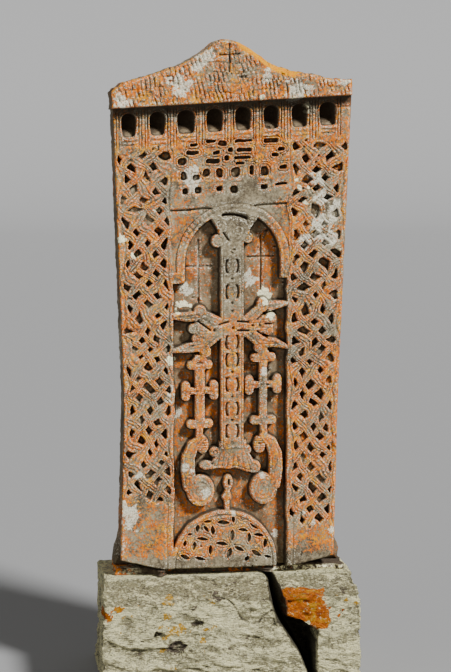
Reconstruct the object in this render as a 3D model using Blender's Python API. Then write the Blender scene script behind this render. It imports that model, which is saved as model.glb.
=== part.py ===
"""A khachkar: a carved memorial slab with a gabled cornice, bedded in mortar on a base of two rough stones.

Metres, +Z up, the carved face looks along -Y, and the origin is on the ground under the middle of the base.
Carving is laid out in face coordinates: u across from the slab's axis, w up from the slab's foot.
"""

import math

import bmesh
import bpy
from mathutils.geometry import delaunay_2d_cdt

# Base: two rough stones that stand side by side, with an open crack between them.
BASE_HALF_WIDTH = 0.470
BASE_HALF_DEPTH = 0.310
SEAT_HEIGHT = 0.390
SEAT_FRONT_MARGIN = 0.030
SEAT_BACK_MARGIN = 0.060
LEDGE_DROP = 0.040
LEDGE_WAVE = 0.010
LEFT_TAPER = 0.020
RIGHT_TAPER = 0.001
CRACK_GAP = 0.006
CRACK_TOP_X = 0.157
CRACK_FOOT_X = 0.285
CRACK_START = 0.10
CRACK_END = 0.90
CAVITY_HEIGHT = 0.290
CAVITY_DEPTH = 0.170
CAVITY_REACH = 0.025
CAVITY_LEG_REACH = 0.008
CAVITY_LIP_DROP = 0.062
ROCK_CELL = 0.085
ROCK_ROUGHNESS = 0.010
ROCK_WEAR = 0.016

# Mortar bed between the base and the slab.
BED_THICKNESS = 0.025
BED_INSET = 0.014
BED_BACK_MARGIN = 0.020
BED_RAGGED = 0.005
BED_NICK = 0.010
BED_LUMPS = [(-0.236, 0.030), (0.176, 0.045)]
TOUCH_GAP = 0.0003

# Slab blank. It stands a little to the right of the base's middle, and its edges lean in from head to waist.
AXIS_X = 0.026
SLAB_DEPTH = 0.200
HEAD_HALF_WIDTH = 0.418
WAIST_HEIGHT = 0.600
WAIST_LEFT = 0.385
WAIST_RIGHT = 0.378
FOOT_LEFT = 0.403
FOOT_RIGHT = 0.366
FOOT_FLAT_LEFT = 0.150
FOOT_FLAT_RIGHT = 0.220
FOOT_BREAK_LEFT = 0.042
FOOT_BREAK_RIGHT = 0.032
CLIMB_SLOPE = 0.057
CLIMB_HEIGHT = 1.280

# Unworked foot, left wider than the dressed face on the back half of the slab.
TANG_SPREAD_LEFT = 0.034
TANG_SPREAD_RIGHT = 0.060
TANG_TOP_RIGHT = 0.030
TANG_HEIGHT_LEFT = 0.110
TANG_HEIGHT_RIGHT = 0.135
TANG_INSET = 0.080

# Cornice with its gable.
CORNICE_FOOT = 1.648
CORNICE_PROUD = 0.036
CORNICE_OVERHANG = 0.004
GABLE = [
    (-0.420, 1.710), (-0.370, 1.740), (-0.300, 1.757), (-0.190, 1.786), (-0.100, 1.830), (-0.050, 1.864),
    (-0.013, 1.866), (0.045, 1.840), (0.086, 1.809), (0.130, 1.778), (0.170, 1.758), (0.225, 1.742),
    (0.275, 1.731), (0.335, 1.714), (0.410, 1.707),
]
GABLE_CROSS_U = -0.017
GABLE_CROSS_W = 1.812
GABLE_CROSS_ARM = 0.036
GABLE_CROSS_RISE = 0.038
GABLE_CROSS_FALL = 0.060

# Arcade of blind niches under the cornice.
NICHE_COUNT = 8
NICHE_PITCH = 0.0994
NICHE_WIDTH = 0.052
NICHE_HEIGHT = 0.083
NICHE_ARCH_RISE = 0.020
NICHE_FOOT = 1.547
NICHE_DEPTH = 0.055
NICHE_ROW_SHIFT = -0.014

# Plaited borders: pits between diagonal strands.
PLAIT_COLUMNS = 4
PLAIT_UNIT = 0.0375
PLAIT_HEAD = 1.515
PLAIT_FOOT_LEFT = 0.255
PLAIT_FOOT_RIGHT = 0.150
PLAIT_OUTER_MARGIN = 0.028
PLAIT_INNER_MARGIN = 0.022
PIT_SHARE = 0.40
PIT_DEPTH = 0.024
EDGE_PIT_BACK = 0.4
EDGE_PIT_HEIGHT = 0.7

# Plaited band over the arch.
BAND_UNIT_U = 0.047
BAND_UNIT_W = 0.025
BAND_HEAD = 1.522
BAND_ROWS = 4
BAND_HALF_WIDTH = 0.195
BAND_PIT_LENGTH = 0.52
BAND_PIT_HEIGHT = 0.36
LOOP_PITCH = 0.066
LOOP_W = 1.403
LOOP_HALF_WIDTH = 0.015
LOOP_HALF_HEIGHT = 0.018
LOOP_COUNT = 6

# Sunk panel with its arch.
PANEL_LEFT = 0.212
PANEL_RIGHT = 0.195
PANEL_DEPTH = 0.040
ARCH_CENTRE_W = 1.099
ARCH_RADIUS = 0.170
ARCH_BAND = 0.030
IMPOST_DROP = 0.069
IMPOST_HEIGHT = ARCH_CENTRE_W - IMPOST_DROP
FRAME_DIP = 0.012
FRAME_LINE_W = ARCH_CENTRE_W + ARCH_RADIUS + ARCH_BAND - FRAME_DIP
SPANDREL_DEPTH = 0.006

# Great cross. Its head reaches from the panel over the arch band up to the frame line.
CROSS_FACE = 0.004
SMALL_FACE = 0.006
SCROLL_FACE = 0.005
MOUND_FACE = 0.007
CROSS_CENTRE_W = 0.858
SHAFT_HALF_WIDTH = 0.042
SHAFT_FOOT = 0.430
HEAD_DROP = 0.097
SHAFT_HEAD = FRAME_LINE_W - HEAD_DROP
HEAD_SPREAD = 0.084
HEAD_NECK = 0.040
HEAD_LOBE_U = 0.053
ARM_HALF_HEIGHT = 0.037
ARM_REACH = 0.085
LOBE = 0.023
LINK_PITCH = 0.0845
LINK_LOW = 0.496
LINK_COUNT = 8
LINK_HALF_WIDTH = 0.018
LINK_HALF_HEIGHT = 0.023
LINK_GROOVE = 0.0075
LINK_BOW = 0.62
GROOVE_DEPTH = 0.008

# Leaves of one arm: points across from the shaft and up from the arms, each with a half-width.
ARM_LEAVES = [
    [(0.050, 0.012, 0.024), (0.085, 0.038, 0.024), (0.112, 0.070, 0.020)],
    [(0.050, -0.012, 0.025), (0.088, -0.038, 0.026), (0.112, -0.060, 0.020)],
    [(0.112, 0.068, 0.015), (0.156, 0.076, 0.017), (0.198, 0.074, 0.005)],
    [(0.108, -0.056, 0.016), (0.156, -0.064, 0.017), (0.204, -0.074, 0.005)],
]
ARM_LOBES = [(0.112, 0.070, 0.021), (0.138, 0.018, 0.018), (0.127, -0.024, 0.019), (0.096, -0.074, 0.020)]
ARM_SLITS = [[(0.084, 0.026, 0.003), (0.120, 0.052, 0.003)], [(0.084, -0.018, 0.003), (0.122, -0.044, 0.003)]]

# Two small crosses under the arms, each with paired lobes at its top, its arms and its foot.
SMALL_AXIS = 0.1135
SMALL_TOP = 0.742
SMALL_ARMS = 0.649
SMALL_FOOT = 0.526
SMALL_SHAFT = 0.0175
SMALL_BAR = 0.013
SMALL_REACH = 0.050
SMALL_LOBE = 0.016
SMALL_END_REACH = 0.031
SMALL_NECK = 0.012

# Leaf scrolls that rise from the foot of the cross.
SCROLL_U = 0.1125
SCROLL_W = 0.283
SCROLL_HALF_WIDTH = 0.051
SCROLL_HALF_HEIGHT = 0.058
STEM = [(0.022, 0.030, 0.025), (0.044, 0.087, 0.025), (0.038, 0.142, 0.022), (0.004, 0.187, 0.015)]
BUD_U = 0.097
BUD_W = 0.437
BUD_HALF_WIDTH = 0.018
BUD_HALF_HEIGHT = 0.024

# Lobed mound under the great cross, and the small pendant below it.
MOUND_W = 0.370
MOUND_HALF_WIDTH = 0.079
MOUND_NECK = 0.050
MOUND_DIP = 0.016
MOUND_RISE = 0.030
MOUND_LOBES = [(0.058, 0.052, 0.020, 0.020), (0.085, 0.002, 0.027, 0.018)]
PENDANT_U = -0.018
PENDANT_HALF_WIDTH = 0.016
PENDANT_HALF_HEIGHT = 0.026
KNOB_RADIUS = 0.014

# Domed rosette at the foot.
ROSETTE_U = -0.030
ROSETTE_W = 0.020
ROSETTE_RADIUS = 0.192
ROSETTE_FACE = 0.002
ROSETTE_RIM = 0.022
PETAL_PITCH = 0.0605
PETAL_HALF_LENGTH = 0.019
PETAL_HALF_WIDTH = 0.0075
PETAL_DEPTH = 0.020
PETAL_TURN = math.radians(-14)
PETAL_U = -0.004
PETAL_W = 0.119

# Incised crosses on the floor of the panel.
INCISED_U = 0.110
INCISED_W = ARCH_CENTRE_W
INCISED_RISE = 0.075
INCISED_FALL = 0.120
INCISED_ARM = 0.045
INCISION = 0.005

CIRCLE_SIDES = 12
FRONT_Y = -SLAB_DEPTH / 2
BACK_Y = SLAB_DEPTH / 2
BED_TOP = SEAT_HEIGHT + TOUCH_GAP + BED_THICKNESS
FOOT_Z = BED_TOP + TOUCH_GAP
CUT_CLEAR = 0.012
MERGE = 1e-5
SINK = 0.012

STONE = ("weathered_stone", (0.33, 0.24, 0.17), 0.9)
MORTAR = ("mortar", (0.22, 0.19, 0.16), 0.95)
PALE_ROCK = ("lichened_rock", (0.62, 0.60, 0.47), 0.95)


# Materials, meshes and cuts.


def material(spec):
    name, colour, roughness = spec
    mat = bpy.data.materials.get(name) or bpy.data.materials.new(name)
    mat.use_nodes = True
    shader = mat.node_tree.nodes["Principled BSDF"]
    shader.inputs["Base Color"].default_value = (*colour, 1)
    shader.inputs["Roughness"].default_value = roughness
    shader.inputs["Metallic"].default_value = 0
    return mat


def add_object(name, bm, spec):
    bmesh.ops.recalc_face_normals(bm, faces=bm.faces)
    mesh = bpy.data.meshes.new(name)
    bm.to_mesh(mesh)
    bm.free()
    mesh.materials.append(material(spec))
    obj = bpy.data.objects.new(name, mesh)
    bpy.context.scene.collection.objects.link(obj)
    return obj


def add_prism(bm, outline, y_front, y_back):
    """Adds the closed prism whose outline in X and Z runs from y_front to y_back."""
    front = [bm.verts.new((x, y_front, z)) for x, z in outline]
    back = [bm.verts.new((x, y_back, z)) for x, z in outline]
    bm.faces.new(front)
    bm.faces.new(list(reversed(back)))
    for i in range(len(outline)):
        j = (i + 1) % len(outline)
        bm.faces.new((front[j], front[i], back[i], back[j]))


def tool_object(name, prisms):
    """Joins prisms into one hidden object that a Boolean modifier uses."""
    bm = bmesh.new()
    for outline, y_front, y_back in prisms:
        add_prism(bm, outline, y_front, y_back)
    obj = add_object(name, bm, STONE)
    obj.hide_render = True
    obj.display_type = "WIRE"
    return obj


def boolean(obj, tool, operation):
    mod = obj.modifiers.new(tool.name, "BOOLEAN")
    mod.operation = operation
    mod.solver = "EXACT"
    mod.object = tool


# Face coordinates and outlines.


def climb(w):
    """The carver's level lines climb to the right, more and more towards the head."""
    return CLIMB_SLOPE * max(0.0, min(1.0, w / CLIMB_HEIGHT))


def face_point(u, w):
    return (AXIS_X + u, FOOT_Z + w + climb(w) * u)


def on_face(points):
    return [face_point(u, w) for u, w in points]


def edge(w, waist, foot):
    """Half-width of the slab on one side at height w."""
    if w < WAIST_HEIGHT:
        return foot + (waist - foot) * w / WAIST_HEIGHT
    return waist + (HEAD_HALF_WIDTH - waist) * (w - WAIST_HEIGHT) / (CORNICE_FOOT - WAIST_HEIGHT)


def left_edge(w):
    return -edge(w, WAIST_LEFT, FOOT_LEFT)


def right_edge(w):
    return edge(w, WAIST_RIGHT, FOOT_RIGHT)


def curve_value(before, start, end, after, t):
    """Value at share t between start and end of a smooth curve through four values."""
    square = 2 * before - 5 * start + 4 * end - after
    cube = 3 * (start - end) - before + after
    return 0.5 * (2 * start + (end - before) * t + square * t ** 2 + cube * t ** 3)


def smooth_curve(points, steps):
    """Points of a Catmull-Rom curve through the given ones."""
    padded = [points[0], *points, points[-1]]
    curve = []
    for a, b, c, d in zip(padded, padded[1:], padded[2:], padded[3:]):
        for i in range(steps):
            t = i / steps
            curve.append(tuple(curve_value(*four, t) for four in zip(a, b, c, d)))
    return [*curve, points[-1]]


def ellipse(u, w, half_u, half_w, sides=CIRCLE_SIDES):
    angles = [2 * math.pi * (i + 0.5) / sides for i in range(sides)]
    return [(u + half_u * math.cos(a), w + half_w * math.sin(a)) for a in angles]


def box(u0, w0, u1, w1):
    return [(u0, w0), (u1, w0), (u1, w1), (u0, w1)]


def ribbon(path, u_from=0.0, w_from=0.0):
    """Outline of a band along a path whose points each have a half-width."""
    one, other = [], []
    for i, (u, w, half) in enumerate(path):
        u, w = u + u_from, w + w_from
        ua, wa, _ = path[max(i - 1, 0)]
        ub, wb, _ = path[min(i + 1, len(path) - 1)]
        length = math.hypot(ub - ua, wb - wa)
        nu, nw = -(wb - wa) / length * half, (ub - ua) / length * half
        one.append((u + nu, w + nw))
        other.append((u - nu, w - nw))
    return one + other[::-1]


def petal(u, w, half_length, half_width, turn):
    """A pointed leaf outline along the direction turn."""
    across = [0.0, 0.75, 1.0, 0.75, 0.0, -0.75, -1.0, -0.75]
    along = [-1.0, -0.5, 0.0, 0.5, 1.0, 0.5, 0.0, -0.5]
    c, s = math.cos(turn), math.sin(turn)
    return [
        (u + half_length * a * c - half_width * b * s, w + half_length * a * s + half_width * b * c)
        for a, b in zip(along, across)
    ]


def mirrored(side, points):
    return [(side * u, w) for u, w in points]


# The slab as a plan of overlapping outlines, each with its own depth.


def inside(outline, x, z):
    """True where the point lies within the outline."""
    result = False
    for (xa, za), (xb, zb) in zip(outline, outline[1:] + outline[:1]):
        if (za > z) != (zb > z) and x < xa + (z - za) * (xb - xa) / (zb - za):
            result = not result
    return result


def depth_at(layers, x, z):
    """Depth of the last layer that covers the point, or None outside them all and below the foot."""
    if z < FOOT_Z:
        return None
    for outline, depth in reversed(layers):
        if inside(outline, x, z):
            return depth
    return None


def triangulated(points, edges, outlines):
    """Points and triangles of the plan that the given edges or closed outlines bound."""
    verts, _, faces, *_ = delaunay_2d_cdt(points, edges, outlines, 1, MERGE, False)
    return [(v.x, v.y) for v in verts], [tuple(f) for f in faces]


def level_edges(verts, faces, layers):
    """Each face's depth, and every edge where the depth changes with the depths on its two sides."""
    depths = []
    for face in faces:
        middle = [sum(verts[i][k] for i in face) / 3 for k in (0, 1)]
        depths.append(depth_at(layers, *middle))
    sides = {}
    for face, depth in zip(faces, depths):
        if depth is None:
            continue
        for i, j in zip(face, face[1:] + face[:1]):
            sides.setdefault((min(i, j), max(i, j)), []).append(depth)
    steps = {e: d for e, d in sides.items() if len(d) == 1 or d[0] != d[1]}
    return depths, steps


def stepped_solid(layers, y_back):
    """One closed solid: a flat back, and a front where each part of the plan lies at its layer's depth."""
    points, outlines = [], []
    for outline, _ in layers:
        outlines.append(list(range(len(points), len(points) + len(outline))))
        points += outline
    verts, faces = triangulated(points, [], outlines)
    _, steps = level_edges(verts, faces, layers)
    used = sorted({i for e in steps for i in e})
    number = {old: new for new, old in enumerate(used)}
    kept_edges = [(number[i], number[j]) for i, j in steps]
    verts, faces = triangulated([verts[i] for i in used], kept_edges, [])
    depths, steps = level_edges(verts, faces, layers)

    levels = [set() for _ in verts]
    for face, depth in zip(faces, depths):
        for i in face if depth is not None else ():
            levels[i].add(depth)
    for (i, j), d in steps.items():
        if len(d) == 1:
            levels[i].add(y_back)
            levels[j].add(y_back)
    bm = bmesh.new()
    made = {}
    for i, (x, z) in enumerate(verts):
        for y in levels[i]:
            made[i, y] = bm.verts.new((x, y, z))
    for face, depth in zip(faces, depths):
        if depth is not None:
            bm.faces.new([made[i, depth] for i in face])
    for (i, j), d in steps.items():
        low, high = min(d), max(d) if len(d) == 2 else y_back
        one = sorted(y for y in levels[i] if low <= y <= high)
        other = sorted(y for y in levels[j] if low <= y <= high)
        a, b = 0, 0
        while a + 1 < len(one) or b + 1 < len(other):
            step_one = b + 1 == len(other) or (a + 1 < len(one) and one[a + 1] <= other[b + 1])
            third = (i, one[a + 1]) if step_one else (j, other[b + 1])
            bm.faces.new((made[i, one[a]], made[j, other[b]], made[third]))
            a, b = (a + 1, b) if step_one else (a, b + 1)
    rim = [e for e in bm.edges if len(e.link_faces) == 1]
    bmesh.ops.contextual_create(bm, geom=rim)
    return bm


def slab_outline():
    heights = [CORNICE_FOOT * i / 6 for i in range(7)]
    return [(right_edge(w), w) for w in heights] + [(left_edge(w), w) for w in reversed(heights)]


def cornice_outline():
    spread = [(u + math.copysign(CORNICE_OVERHANG, u), w) for u, w in GABLE]
    ends = [(spread[-1][0], CORNICE_FOOT), (spread[0][0], CORNICE_FOOT)]
    return smooth_curve(spread, 3) + ends


def tang_outline():
    left, right = left_edge(0), right_edge(0)
    return [
        (left - TANG_SPREAD_LEFT, 0.0),
        (right + TANG_SPREAD_RIGHT, 0.0),
        (right + TANG_TOP_RIGHT, TANG_HEIGHT_RIGHT),
        (left + SINK, TANG_HEIGHT_LEFT),
    ]


def broken_corners():
    """The two front corners of the foot, which have broken away down to the tang."""
    left, right = left_edge(0) - SINK, right_edge(0) + SINK
    return [
        [(left, -SINK), (-FOOT_FLAT_LEFT, 0.0), (left, FOOT_BREAK_LEFT)],
        [(right, -SINK), (FOOT_FLAT_RIGHT, 0.0), (right, FOOT_BREAK_RIGHT)],
    ]


# The sunk panel and what stands in it.


def arch_points(radius, steps):
    return [
        (radius * math.cos(math.pi * i / steps), ARCH_CENTRE_W + radius * math.sin(math.pi * i / steps))
        for i in range(steps + 1)
    ]


def panel_outline():
    arch = [(ARCH_RADIUS, IMPOST_HEIGHT), *arch_points(ARCH_RADIUS, 16), (-ARCH_RADIUS, IMPOST_HEIGHT)]
    left = [(-PANEL_LEFT, IMPOST_HEIGHT), (-PANEL_LEFT, 0.0)]
    return [*arch, *left, (PANEL_RIGHT, 0.0), (PANEL_RIGHT, IMPOST_HEIGHT)]


def spandrel_outline(side):
    """The shallow sinking between the arch band and the frame line, on one side of the arch."""
    jamb = PANEL_RIGHT + PLAIT_INNER_MARGIN / 2 if side > 0 else PANEL_LEFT + PLAIT_INNER_MARGIN / 2
    reach = ARCH_RADIUS + ARCH_BAND
    top_angle = math.asin((FRAME_LINE_W - ARCH_CENTRE_W) / reach)
    angles = [top_angle * i / 6 for i in range(7)]
    band = [(reach * math.cos(a), ARCH_CENTRE_W + reach * math.sin(a)) for a in angles]
    return mirrored(side, band + [(jamb, FRAME_LINE_W), (jamb, ARCH_CENTRE_W)])


def great_cross():
    """Outlines of the great cross: its shaft, head and two leafy arms."""
    mid, neck = CROSS_CENTRE_W, SHAFT_HEAD - LOBE
    head_top = FRAME_LINE_W - HEAD_DROP / 3
    shapes = [
        box(-SHAFT_HALF_WIDTH, SHAFT_FOOT, SHAFT_HALF_WIDTH, SHAFT_HEAD),
        box(-ARM_REACH, mid - ARM_HALF_HEIGHT, ARM_REACH, mid + ARM_HALF_HEIGHT),
        [(-HEAD_NECK, neck), (HEAD_NECK, neck), (HEAD_SPREAD, head_top), (-HEAD_SPREAD, head_top)],
        ellipse(0.0, SHAFT_HEAD, HEAD_LOBE_U, 2 * LOBE),
    ]
    for side in (-1, 1):
        arm = [ellipse(HEAD_LOBE_U, SHAFT_HEAD - LOBE * 0.8, LOBE, LOBE)]
        heart = ARM_HALF_HEIGHT * 0.8
        arm.append(box(ARM_REACH / 2, mid - heart, ARM_LOBES[2][0], mid + heart))
        arm += [ribbon(path, 0.0, mid) for path in ARM_LEAVES]
        arm += [ellipse(u, mid + w, radius, radius) for u, w, radius in ARM_LOBES]
        shapes += [mirrored(side, s) for s in arm]
    return shapes


def small_cross(side):
    axis, reach, lobe = SMALL_AXIS, SMALL_REACH, SMALL_LOBE
    shapes = [
        box(axis - SMALL_SHAFT, SMALL_FOOT, axis + SMALL_SHAFT, SMALL_TOP + 3 * lobe),
        box(axis - reach, SMALL_ARMS - SMALL_BAR, axis + reach, SMALL_ARMS + SMALL_BAR),
        box(axis - SMALL_NECK, BUD_W, axis + SMALL_NECK, SMALL_FOOT),
    ]
    for w in (SMALL_TOP, SMALL_FOOT):
        shapes.append(box(axis - SMALL_END_REACH, w - lobe * 0.9, axis + SMALL_END_REACH, w + lobe * 0.85))
        shapes += [ellipse(axis + u, w, lobe, lobe, 10) for u in (-SMALL_END_REACH, SMALL_END_REACH)]
    for u in (-reach, reach):
        for w in (-SMALL_BAR * 1.6, SMALL_BAR * 1.6):
            shapes.append(ellipse(axis + u, SMALL_ARMS + w, lobe, lobe, 10))
    return [mirrored(side, s) for s in shapes]


def scroll(side):
    """One leaf scroll: the curled lobe, its stem and the bud that hangs in the bend."""
    shapes = [
        ellipse(SCROLL_U, SCROLL_W, SCROLL_HALF_WIDTH, SCROLL_HALF_HEIGHT, 18),
        ribbon(smooth_curve(STEM, 3), SCROLL_U, SCROLL_W),
        ellipse(BUD_U, BUD_W, BUD_HALF_WIDTH, BUD_HALF_HEIGHT, 10),
    ]
    return [mirrored(side, s) for s in shapes]


def mound():
    """The lobed mound under the cross, and the small pendant between the scrolls."""
    low, high = MOUND_W - MOUND_DIP, SHAFT_FOOT + MOUND_RISE
    knob_w = SCROLL_W - PENDANT_HALF_HEIGHT
    half = PENDANT_HALF_WIDTH / 2
    shapes = [
        [(-MOUND_HALF_WIDTH, low), (MOUND_HALF_WIDTH, low), (MOUND_NECK, high), (-MOUND_NECK, high)],
        ellipse(PENDANT_U, knob_w + 2 * PENDANT_HALF_HEIGHT, PENDANT_HALF_WIDTH, PENDANT_HALF_HEIGHT, 10),
        ellipse(PENDANT_U, knob_w, KNOB_RADIUS, KNOB_RADIUS, 8),
        box(PENDANT_U - half, ROSETTE_W + ROSETTE_RADIUS - SINK, PENDANT_U + half, SCROLL_W + SINK),
    ]
    for side in (-1, 1):
        for u, w, half_u, half_w in MOUND_LOBES:
            shapes.append(mirrored(side, ellipse(u, MOUND_W + w, half_u, half_w, 10)))
    return shapes


def rosette_outline():
    steps = 28
    ring = []
    for i in range(steps + 1):
        a = math.pi * i / steps
        ring.append((ROSETTE_U + ROSETTE_RADIUS * math.cos(a), ROSETTE_W + ROSETTE_RADIUS * math.sin(a)))
    return [(ROSETTE_U + ROSETTE_RADIUS, 0.0), *ring, (ROSETTE_U - ROSETTE_RADIUS, 0.0)]


# Cuts in the face.


def plait_columns(w, side):
    """u of the outermost column of a border plait, and the step inward between columns, at height w."""
    if side < 0:
        outer, inner = left_edge(w) + PLAIT_OUTER_MARGIN, -PANEL_LEFT - PLAIT_INNER_MARGIN
    else:
        outer, inner = right_edge(w) - PLAIT_OUTER_MARGIN, PANEL_RIGHT + PLAIT_INNER_MARGIN
    return outer, (inner - outer) / PLAIT_COLUMNS


def border_pits(side):
    """Pits of one border: diamonds in the middle, and triangles where the strands turn back at the edges."""
    foot = PLAIT_FOOT_LEFT if side < 0 else PLAIT_FOOT_RIGHT
    rows = int((PLAIT_HEAD - foot) / PLAIT_UNIT)
    outlines = []
    for row in range(1, rows):
        w = PLAIT_HEAD - row * PLAIT_UNIT
        outer, step = plait_columns(w, side)
        high, reach = PIT_SHARE * PLAIT_UNIT, PIT_SHARE * step
        for column in range(PLAIT_COLUMNS + 1):
            if (row + column) % 2 == 0:
                continue
            u = outer + column * step
            if column in (0, PLAIT_COLUMNS):
                tip = reach if column == 0 else -reach
                base, low = u - EDGE_PIT_BACK * tip, EDGE_PIT_HEIGHT * high
                outlines.append([(base, w - low), (u + tip, w), (base, w + low)])
            else:
                outlines.append([(u - reach, w), (u, w - high), (u + reach, w), (u, w + high)])
    return outlines


def band_pits():
    """Long pits of the band over the arch, and the row of rounder pits below it."""
    outlines = []
    half = int(BAND_HALF_WIDTH / BAND_UNIT_U)
    for row in range(1, BAND_ROWS):
        w = BAND_HEAD - row * BAND_UNIT_W
        for column in range(-half, half + 1):
            if (row + column) % 2 == 0:
                continue
            u = column * BAND_UNIT_U
            out, high = BAND_PIT_LENGTH * BAND_UNIT_U, BAND_PIT_HEIGHT * BAND_UNIT_W
            outlines.append([(u - out, w), (u, w - high), (u + out, w), (u, w + high)])
    for i in range(LOOP_COUNT):
        u = (i - (LOOP_COUNT - 1) / 2) * LOOP_PITCH
        outlines.append(ellipse(u, LOOP_W, LOOP_HALF_WIDTH, LOOP_HALF_HEIGHT, 6))
    return outlines


def niches():
    outlines = []
    half, rise = NICHE_WIDTH / 2, NICHE_ARCH_RISE
    for i in range(NICHE_COUNT):
        u = NICHE_ROW_SHIFT + (i - (NICHE_COUNT - 1) / 2) * NICHE_PITCH
        spring = NICHE_FOOT + NICHE_HEIGHT - rise
        angles = [math.pi * k / 6 for k in range(7)]
        arch = [(u + half * math.cos(a), spring + rise * math.sin(a)) for a in angles]
        outlines.append([(u - half, NICHE_FOOT), (u + half, NICHE_FOOT), *arch])
    return outlines


def chain_grooves():
    """Pairs of bowed slots down the shaft that read as a chain of oval links."""
    outlines = []
    for i in range(LINK_COUNT):
        w = LINK_LOW + i * LINK_PITCH
        if abs(w - CROSS_CENTRE_W) < ARM_HALF_HEIGHT / 2:
            continue
        for side in (-1, 1):
            end, narrow = LINK_BOW * LINK_HALF_WIDTH, LINK_BOW * LINK_GROOVE / 2
            bow = [
                (end, w - LINK_HALF_HEIGHT, narrow),
                (LINK_HALF_WIDTH, w, LINK_GROOVE / 2),
                (end, w + LINK_HALF_HEIGHT, narrow),
            ]
            outlines.append(mirrored(side, ribbon(bow)))
    return outlines


def arm_slits():
    return [mirrored(side, ribbon(slit, 0.0, CROSS_CENTRE_W)) for side in (-1, 1) for slit in ARM_SLITS]


def petals():
    """Leaf-shaped pits of the rosette: upright and level in turn, on a slightly turned square lattice."""
    outlines = []
    c, s = math.cos(PETAL_TURN), math.sin(PETAL_TURN)
    reach = int(ROSETTE_RADIUS / PETAL_PITCH) + 2
    limit = ROSETTE_RADIUS - ROSETTE_RIM - PETAL_HALF_LENGTH * 0.5
    for i in range(-reach, reach + 1):
        for j in range(-reach, reach + 1):
            for shift, turn in ((0.0, PETAL_TURN + math.pi / 2), (0.5, PETAL_TURN)):
                a, b = (i + shift) * PETAL_PITCH, (j + shift) * PETAL_PITCH
                u, w = PETAL_U + a * c - b * s, PETAL_W + a * s + b * c
                within = math.hypot(u - ROSETTE_U, w - ROSETTE_W) < limit
                if within and w > PETAL_HALF_LENGTH + ROSETTE_RIM / 2:
                    outlines.append(petal(u, w, PETAL_HALF_LENGTH, PETAL_HALF_WIDTH, turn))
    return outlines


def incised_cross(u, w, arm, rise, fall):
    half = INCISION / 2
    return [box(u - half, w - fall, u + half, w + rise), box(u - arm, w - half, u + arm, w + half)]


def slab_layers():
    """Every outline of the slab with its depth, in the order a carver would reach them."""
    tang_face = FRONT_Y + TANG_INSET
    gable_face = FRONT_Y - CORNICE_PROUD
    floor = FRONT_Y + PANEL_DEPTH
    incised = incised_cross(-INCISED_U, INCISED_W, INCISED_ARM, INCISED_RISE, INCISED_FALL)
    incised += incised_cross(INCISED_U, INCISED_W, INCISED_ARM, INCISED_RISE, INCISED_FALL)
    gable = incised_cross(GABLE_CROSS_U, GABLE_CROSS_W, GABLE_CROSS_ARM, GABLE_CROSS_RISE, GABLE_CROSS_FALL)
    groups = [
        ([tang_outline()], tang_face),
        ([slab_outline()], FRONT_Y),
        ([cornice_outline()], gable_face),
        ([spandrel_outline(-1), spandrel_outline(1)], FRONT_Y + SPANDREL_DEPTH),
        ([panel_outline()], floor),
        (incised, floor + INCISION),
        (scroll(-1) + scroll(1), FRONT_Y + SCROLL_FACE),
        (mound(), FRONT_Y + MOUND_FACE),
        (small_cross(-1) + small_cross(1), FRONT_Y + SMALL_FACE),
        (great_cross(), FRONT_Y + CROSS_FACE),
        ([rosette_outline()], FRONT_Y + ROSETTE_FACE),
        (border_pits(-1) + border_pits(1) + band_pits(), FRONT_Y + PIT_DEPTH),
        (niches(), FRONT_Y + NICHE_DEPTH),
        (chain_grooves() + arm_slits(), FRONT_Y + CROSS_FACE + GROOVE_DEPTH),
        (petals(), FRONT_Y + PETAL_DEPTH),
        (gable, gable_face + INCISION),
        (broken_corners(), tang_face),
    ]
    return [(on_face(outline), depth) for outlines, depth in groups for outline in outlines]


def make_slab():
    return add_object("carved_slab", stepped_solid(slab_layers(), BACK_Y), STONE)


# The mortar bed.


def make_bed():
    """A thin ragged plate that squeezes out in two lumps under the front of the slab."""
    left = AXIS_X + left_edge(0) - TANG_SPREAD_LEFT + BED_INSET
    right = AXIS_X + right_edge(0) + TANG_SPREAD_RIGHT - BED_INSET
    front, back = FRONT_Y + BED_INSET, BACK_Y + BED_BACK_MARGIN
    steps = 30
    outline = []
    for i in range(steps + 1):
        x = left + (right - left) * i / steps
        squeeze = sum(math.exp(-(((x - at) / width) ** 2)) for at, width in BED_LUMPS)
        outline.append((x, front + BED_RAGGED * math.sin(31 * x) - 2 * BED_INSET * min(squeeze, 1)))
    outline += [(right - BED_NICK * (i % 2), front + (back - front) * i / 4) for i in range(1, 4)]
    for i in range(12, -1, -1):
        x = left + (right - left) * i / 12
        outline.append((x, back + BED_RAGGED * math.sin(23 * x + 1)))
    outline += [(left + BED_NICK * (i % 2), front + (back - front) * i / 4) for i in range(3, 0, -1)]

    bm = bmesh.new()
    low, high = SEAT_HEIGHT + TOUCH_GAP, BED_TOP
    under = [bm.verts.new((x, y, low)) for x, y in outline]
    top = [bm.verts.new((x, y, high)) for x, y in outline]
    bm.faces.new(list(reversed(under)))
    bm.faces.new(top)
    for i in range(len(outline)):
        j = (i + 1) % len(outline)
        bm.faces.new((under[i], under[j], top[j], top[i]))
    return add_object("mortar_bed", bm, MORTAR)


# The base stones.


def crack_x(z):
    """The crack runs nearly straight down at first, and then to the right."""
    fallen = (SEAT_HEIGHT - z) / SEAT_HEIGHT
    t = max(0.0, min(1.0, (fallen - CRACK_START) / (CRACK_END - CRACK_START)))
    bend = 0.5 - 0.5 * math.cos(math.pi * t)
    return CRACK_TOP_X + (CRACK_FOOT_X - CRACK_TOP_X) * bend


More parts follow.
